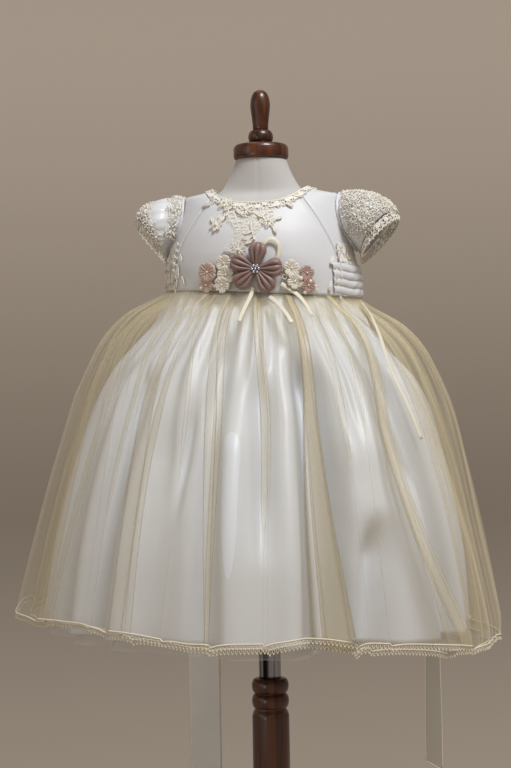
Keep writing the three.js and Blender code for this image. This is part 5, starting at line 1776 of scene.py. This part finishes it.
def make_bodice_lace():
    turn = np.linspace(0, 360, 200, endpoint=False)
    front = np.cos(np.radians(turn)) > 0

    def neck_ring(spread):
        x = (NECK_SIDE[0] + spread) * np.sin(np.radians(turn))
        z = np.where(front, neckline_z(x, NECK_FRONT_Z, spread), neckline_z(x, NECK_BACK_Z, spread))
        at = turn_at(x, z)
        return bodice_point(np.where(front, at, 180 - at), z)

    ring = np.array([neck_ring(s) for s in np.linspace(0.4, 6.4, 6)])
    ring = raised(ring, 1.5, ring=True)
    lace = finished(cloth("neckline_lace_band", ring, ring=True), "lace", "lace", "neckline_lace")
    scallops = repeated("neckline_scallops", ring[-1], "scallop", 6.2, "lace_thread", 0.62, True)
    finished(scallops, "lace_thread", "lace")
    finished(Form().add_tube(ring[0], 0.7, 6, closed=True).made("neckline_edge"), "lace_thread", "lace")
    heights = np.linspace(MOTIF[-1][0], MOTIF[0][0], 30)[:, None]
    across = np.linspace(-1, 1, 31)[None]
    at = turn_at(read(MOTIF, heights, 1) + across * read(MOTIF, heights, 2), heights)
    net = cloth("bodice_motif_net", tilted(raised(bodice_point(at, heights), 1.3)))
    finished(net, "lace_net", "lace", "bodice_lace_motif")
    form = Form()
    for x, z, long in LACE_FLOWERS:
        lace_flower(form, x, z, long)
    for row in LACE_LEAVES:
        leaf(form, *row)
    for stem in LACE_STEMS:
        form.add_tube([bodice_frame(x, z, 1.8)[0] for x, z in spline(stem, 22)], 0.55, 5)
    finished(form.made("bodice_motif_threads"), "lace_thread", "lace")
    beads = Form()
    for x, z in LACE_PEARLS:
        beads.add_ball(bodice_frame(x, z, 2.9)[0], 1.35, 9, 7)
    finished(beads.made("bodice_motif_pearls"), "pearl", "pearl")
    heights = np.linspace(668, BODICE_LOW + 1, 30)[:, None]
    rise = np.clip((heights - 640) / 28, 0, 1)
    turns = mix(mix(56, 58, rise), mix(84, 69, rise), np.linspace(0, 1, 19)[None])
    grid = raised(bodice_point(turns, heights), 1.7)
    for name, side in SIDES.items():
        panel = cloth(f"side_{name}_lace_panel", tilted(mirrored(grid, side)))
        finished(panel, "lace", "lace", "side_lace_" + name)
        line = tilted(mirrored(grid, side))[:, 0 if side > 0 else -1]
        edge = repeated(f"side_{name}_scallops", line, "scallop", 6.2, "lace_thread", 0.8)
        finished(edge, "lace_thread", "lace")
        threads = Form()
        for x, z, a, long in ((74, 655, 250, 9), (77, 644, 270, 14), (72, 632, 255, 9), (78, 629, 285, 8)):
            leaf(threads, side * x, z, a if side > 0 else 540 - a, long, 2.1)
        finished(threads.made(f"side_{name}_leaves"), "lace_thread", "lace")


# ---------- Flower and blossoms ----------

PETAL_TURNS = [84, 4, -56, -142, 160]
# A petal: distance from the middle, width, height of its folds.
PETAL = [
    (1.5, 4, 2.4), (6, 7.4, 4.0), (10, 11, 5.2), (14, 15, 6.0),
    (18, 17.4, 6.2), (21.5, 16, 5.2), (24, 11, 3.6), (25.4, 4, 1.8),
]


def petal_grid(middle, way, across, out, rows, seed, fine=(26, 29)):
    """A folded satin petal: a hem turned under at the sides and light pleats from its root."""
    share = np.linspace(0, 1, fine[0])[:, None]
    u = np.linspace(-1, 1, fine[1])[None]
    at = mix(rows[0][0], rows[-1][0], share)
    wide = read(rows, at, 1) / 2
    ridges = np.abs(np.cos(1.5 * np.pi * (u + 0.12 * math.sin(seed)))) ** 0.7
    deep = 0.66 * (1 - smooth(share, 0.45, 1)) + 0.2
    dome = np.sqrt(np.clip(1 - u**4, 0, 1)) * (1 - deep * (1 - ridges))
    fold = 0.1 * np.exp(-(((np.abs(u) - 0.86) / 0.07) ** 2)) * smooth(share, 0.2, 0.5)
    lift = read(rows, at, 2) * (dome + fold)
    return middle + at[..., None] * way + (u * wide)[..., None] * across + lift[..., None] * out


def make_flower():
    x, z = FLOWER
    depth = float(read(BODICE, z, 2))
    seat = np.array([x, -depth - 1.6, z])
    out = np.array([0, -1.0, 0])
    for i, turn in enumerate(PETAL_TURNS):
        a = math.radians(turn)
        way = np.array([math.cos(a), 0, math.sin(a)])
        across = np.array([-math.sin(a), 0, math.cos(a)])
        grid = petal_grid(seat + 2.4 * out, way, across, out, PETAL, 1.7 * i)
        made = cloth(f"flower_petal_{i + 1}_cloth", grid[:, ::-1], thick=0.6)
        finished(made, "mauve", "mauve_satin", f"flower_petal_{i + 1}")
        rim = Form().add_tube(grid[4:, 1], 0.42, 6).add_tube(grid[4:, -2], 0.42, 6)
        finished(rim.made(f"flower_petal_{i + 1}_folds"), "mauve", "mauve_satin")
    form = Form()
    heart = seat + out * 7.2
    for k in range(7):
        a = 2 * math.pi * k / 6
        ring = 0 if k == 6 else 3.3
        place = heart + np.array([ring * math.cos(a), 0, ring * math.sin(a)]) - out * (0.4 if ring else -0.5)
        form.add_ball(place, 1.65, 8, 4, 0.75, (0, -1, 0))
    finished(form.made("flower_centre_stones"), "crystal", "crystal", "flower_centre")


# A small blossom's petal of the usual reach: distance from the middle, width, height.
PETAL_ROWS = [(0.6, 3.4, 1.2), (3, 6.2, 1.7), (5.4, 8.0, 1.9), (7.6, 6.6, 1.5), (8.4, 2.2, 0.8)]
BLOSSOM_REACH = 8.4
# Small blossoms by x and z: reach, petals, finish, height above the bodice, and turn.
BLOSSOMS = {
    "blossom_pink_left": [(-43, 636.5, 9.8, 6, "blush", 3.6, 20)],
    "blossom_pink_left_low": [(-44.5, 624, 8, 5, "blush", 2.8, 50)],
    "blossom_mauve_right_top": [(50, 638.6, 7.4, 5, "rose", 3.2, 10)],
    "blossom_mauve_right_low": [(51, 627, 7.4, 5, "rose", 3.4, 40)],
    "blossom_cream_left": [
        (-27, 645, 8.4, 5, "cream", 2.4, 0),
        (-25, 634, 8.8, 5, "cream", 3.2, 33),
        (-29, 624.4, 8, 5, "cream", 4, 60),
    ],
    "blossom_cream_right": [(36.4, 642, 8.4, 5, "cream", 2.6, 15), (39, 630, 7.6, 5, "cream", 3.4, 48)],
}
PEARLS = {"pearl_left": (-36, 621.6, 2.6, "bronze_pearl"), "pearl_right": (44.2, 633, 2.2, "pearl")}
SMALL_PEARLS = [(-30, 623, 2.2), (-50, 621, 2.0), (53, 631, 2.2), (48, 620, 1.9), (34, 629, 1.7), (-22, 628, 1.6)]
RING_BEADS = [(-22, 636, 2.4), (30, 634, 2.2), (59, 625, 2.2)]


def small_blossom(x, z, reach, petals, finish_name, lift, turn):
    centre, across, up, out = bodice_frame(x, z, lift)
    rows = [tuple(size * reach / BLOSSOM_REACH for size in row) for row in PETAL_ROWS]
    parts = []
    for k in range(petals):
        a = math.radians(turn + 360 * k / petals)
        way = across * math.cos(a) + up * math.sin(a) + out * (0.12 if finish_name == "cream" else 0.05)
        side = np.cross(out, way)
        grid = petal_grid(centre, way, side / np.linalg.norm(side), out, rows, k + turn, fine=(11, 13))
        parts.append(grid[:, ::-1])
    return parts, (centre + out * 1.6, out)


def make_blossoms():
    for name, rows in BLOSSOMS.items():
        form, beads = Form(), Form()
        for row in rows:
            parts, (place, out) = small_blossom(*row)
            for grid in parts:
                form.add_grid(grid)
            beads.add_ball(place, 1.3 if row[4] == "cream" else 1.15, 8, 6)
        petals = finished(form.made(name + "_petals"), rows[0][4], "blossom", name)
        finished(beads.made(name + "_bead"), "pearl", "pearl")
    for name, (x, z, radius, finish_name) in PEARLS.items():
        ball = Form().add_ball(bodice_frame(x, z, 5.5)[0], radius, 20, 14)
        finished(ball.made(name + "_ball", outside=True), finish_name, "pearl", name)
    beads = Form()
    for x, z, radius in SMALL_PEARLS:
        beads.add_ball(bodice_frame(x, z, 3.4)[0], radius, 16, 11)
    for x, z, radius in RING_BEADS:
        centre, across, up, out = bodice_frame(x, z, 3.4)
        turn = 2 * np.pi * np.arange(14) / 14
        path = centre + np.outer(radius * np.cos(turn), across) + np.outer(radius * np.sin(turn), up)
        beads.add_tube(path, 0.55, 6, closed=True)
    finished(beads.made("small_pearls"), "pearl", "pearl")


# ---------- The add-on ----------

GROUPS = (GownColours, GownCloth, GownStudio)
PARTS = {
    "Camera": (make_camera, "Sets the main view"),
    "Ribbons": (make_ribbons, "Adds the five narrow ribbons as cords"),
    "Form": (make_form, "Adds the covered dress form"),
    "Stand": (make_stand, "Adds the turned stand, its tube and its finial"),
    "Bodice": (make_bodice, "Adds the panels of the bodice with its buttons"),
    "Sleeves": (make_sleeves, "Adds the sleeves with their lace"),
    "Skirts": (make_skirts, "Adds the petticoat, the satin skirt and the two sheer layers"),
    "Sash": (make_sash, "Adds the sash, its knot and its two tails"),
    "Lace": (make_bodice_lace, "Adds the lace of the bodice"),
    "Flower": (make_flower, "Adds the large flower"),
    "Blossoms": (make_blossoms, "Adds the blossoms, pearls and beads"),
    "Studio": (make_stage, "Adds the backdrop and the lights"),
}


def operator_of(label, work, doc):
    class Maker(bpy.types.Operator):
        bl_idname = "gown.make_" + label.lower()
        bl_label = "Make " + label
        bl_options = {"REGISTER", "UNDO"}

        def execute(self, context):
            work()
            return {"FINISHED"}

    Maker.__doc__ = doc
    Maker.__name__ = "GOWN_OT_make_" + label.lower()
    return Maker


OPERATORS = tuple(operator_of(label, work, doc) for label, (work, doc) in PARTS.items())


class GOWN_PT_panel(bpy.types.Panel):
    """Settings and operators of the gown."""

    bl_label = "Christening Gown"
    bl_space_type = "VIEW_3D"
    bl_region_type = "UI"
    bl_category = "Gown"

    def draw(self, context):
        for name in ("gown_colours", "gown_cloth", "gown_studio"):
            box = self.layout.box()
            settings = getattr(context.scene, name)
            for label in settings.bl_rna.properties.keys():
                if label not in {"rna_type", "name"}:
                    box.prop(settings, label)
        column = self.layout.column()
        for maker in OPERATORS:
            column.operator(maker.bl_idname)


def register():
    for cls in (*GROUPS, *OPERATORS, GOWN_PT_panel):
        bpy.utils.register_class(cls)
    bpy.types.Scene.gown_colours = PointerProperty(type=GownColours)
    bpy.types.Scene.gown_cloth = PointerProperty(type=GownCloth)
    bpy.types.Scene.gown_studio = PointerProperty(type=GownStudio)


def unregister():
    for name in ("gown_studio", "gown_cloth", "gown_colours"):
        delattr(bpy.types.Scene, name)
    for cls in reversed((*GROUPS, *OPERATORS, GOWN_PT_panel)):
        bpy.utils.unregister_class(cls)


def main():
    register()
    for label in PARTS:
        getattr(bpy.ops.gown, "make_" + label.lower())()
    for made in FORMS.values():
        bpy.data.objects.remove(made)
    FORMS.clear()


if __name__ == "__main__":
    main()
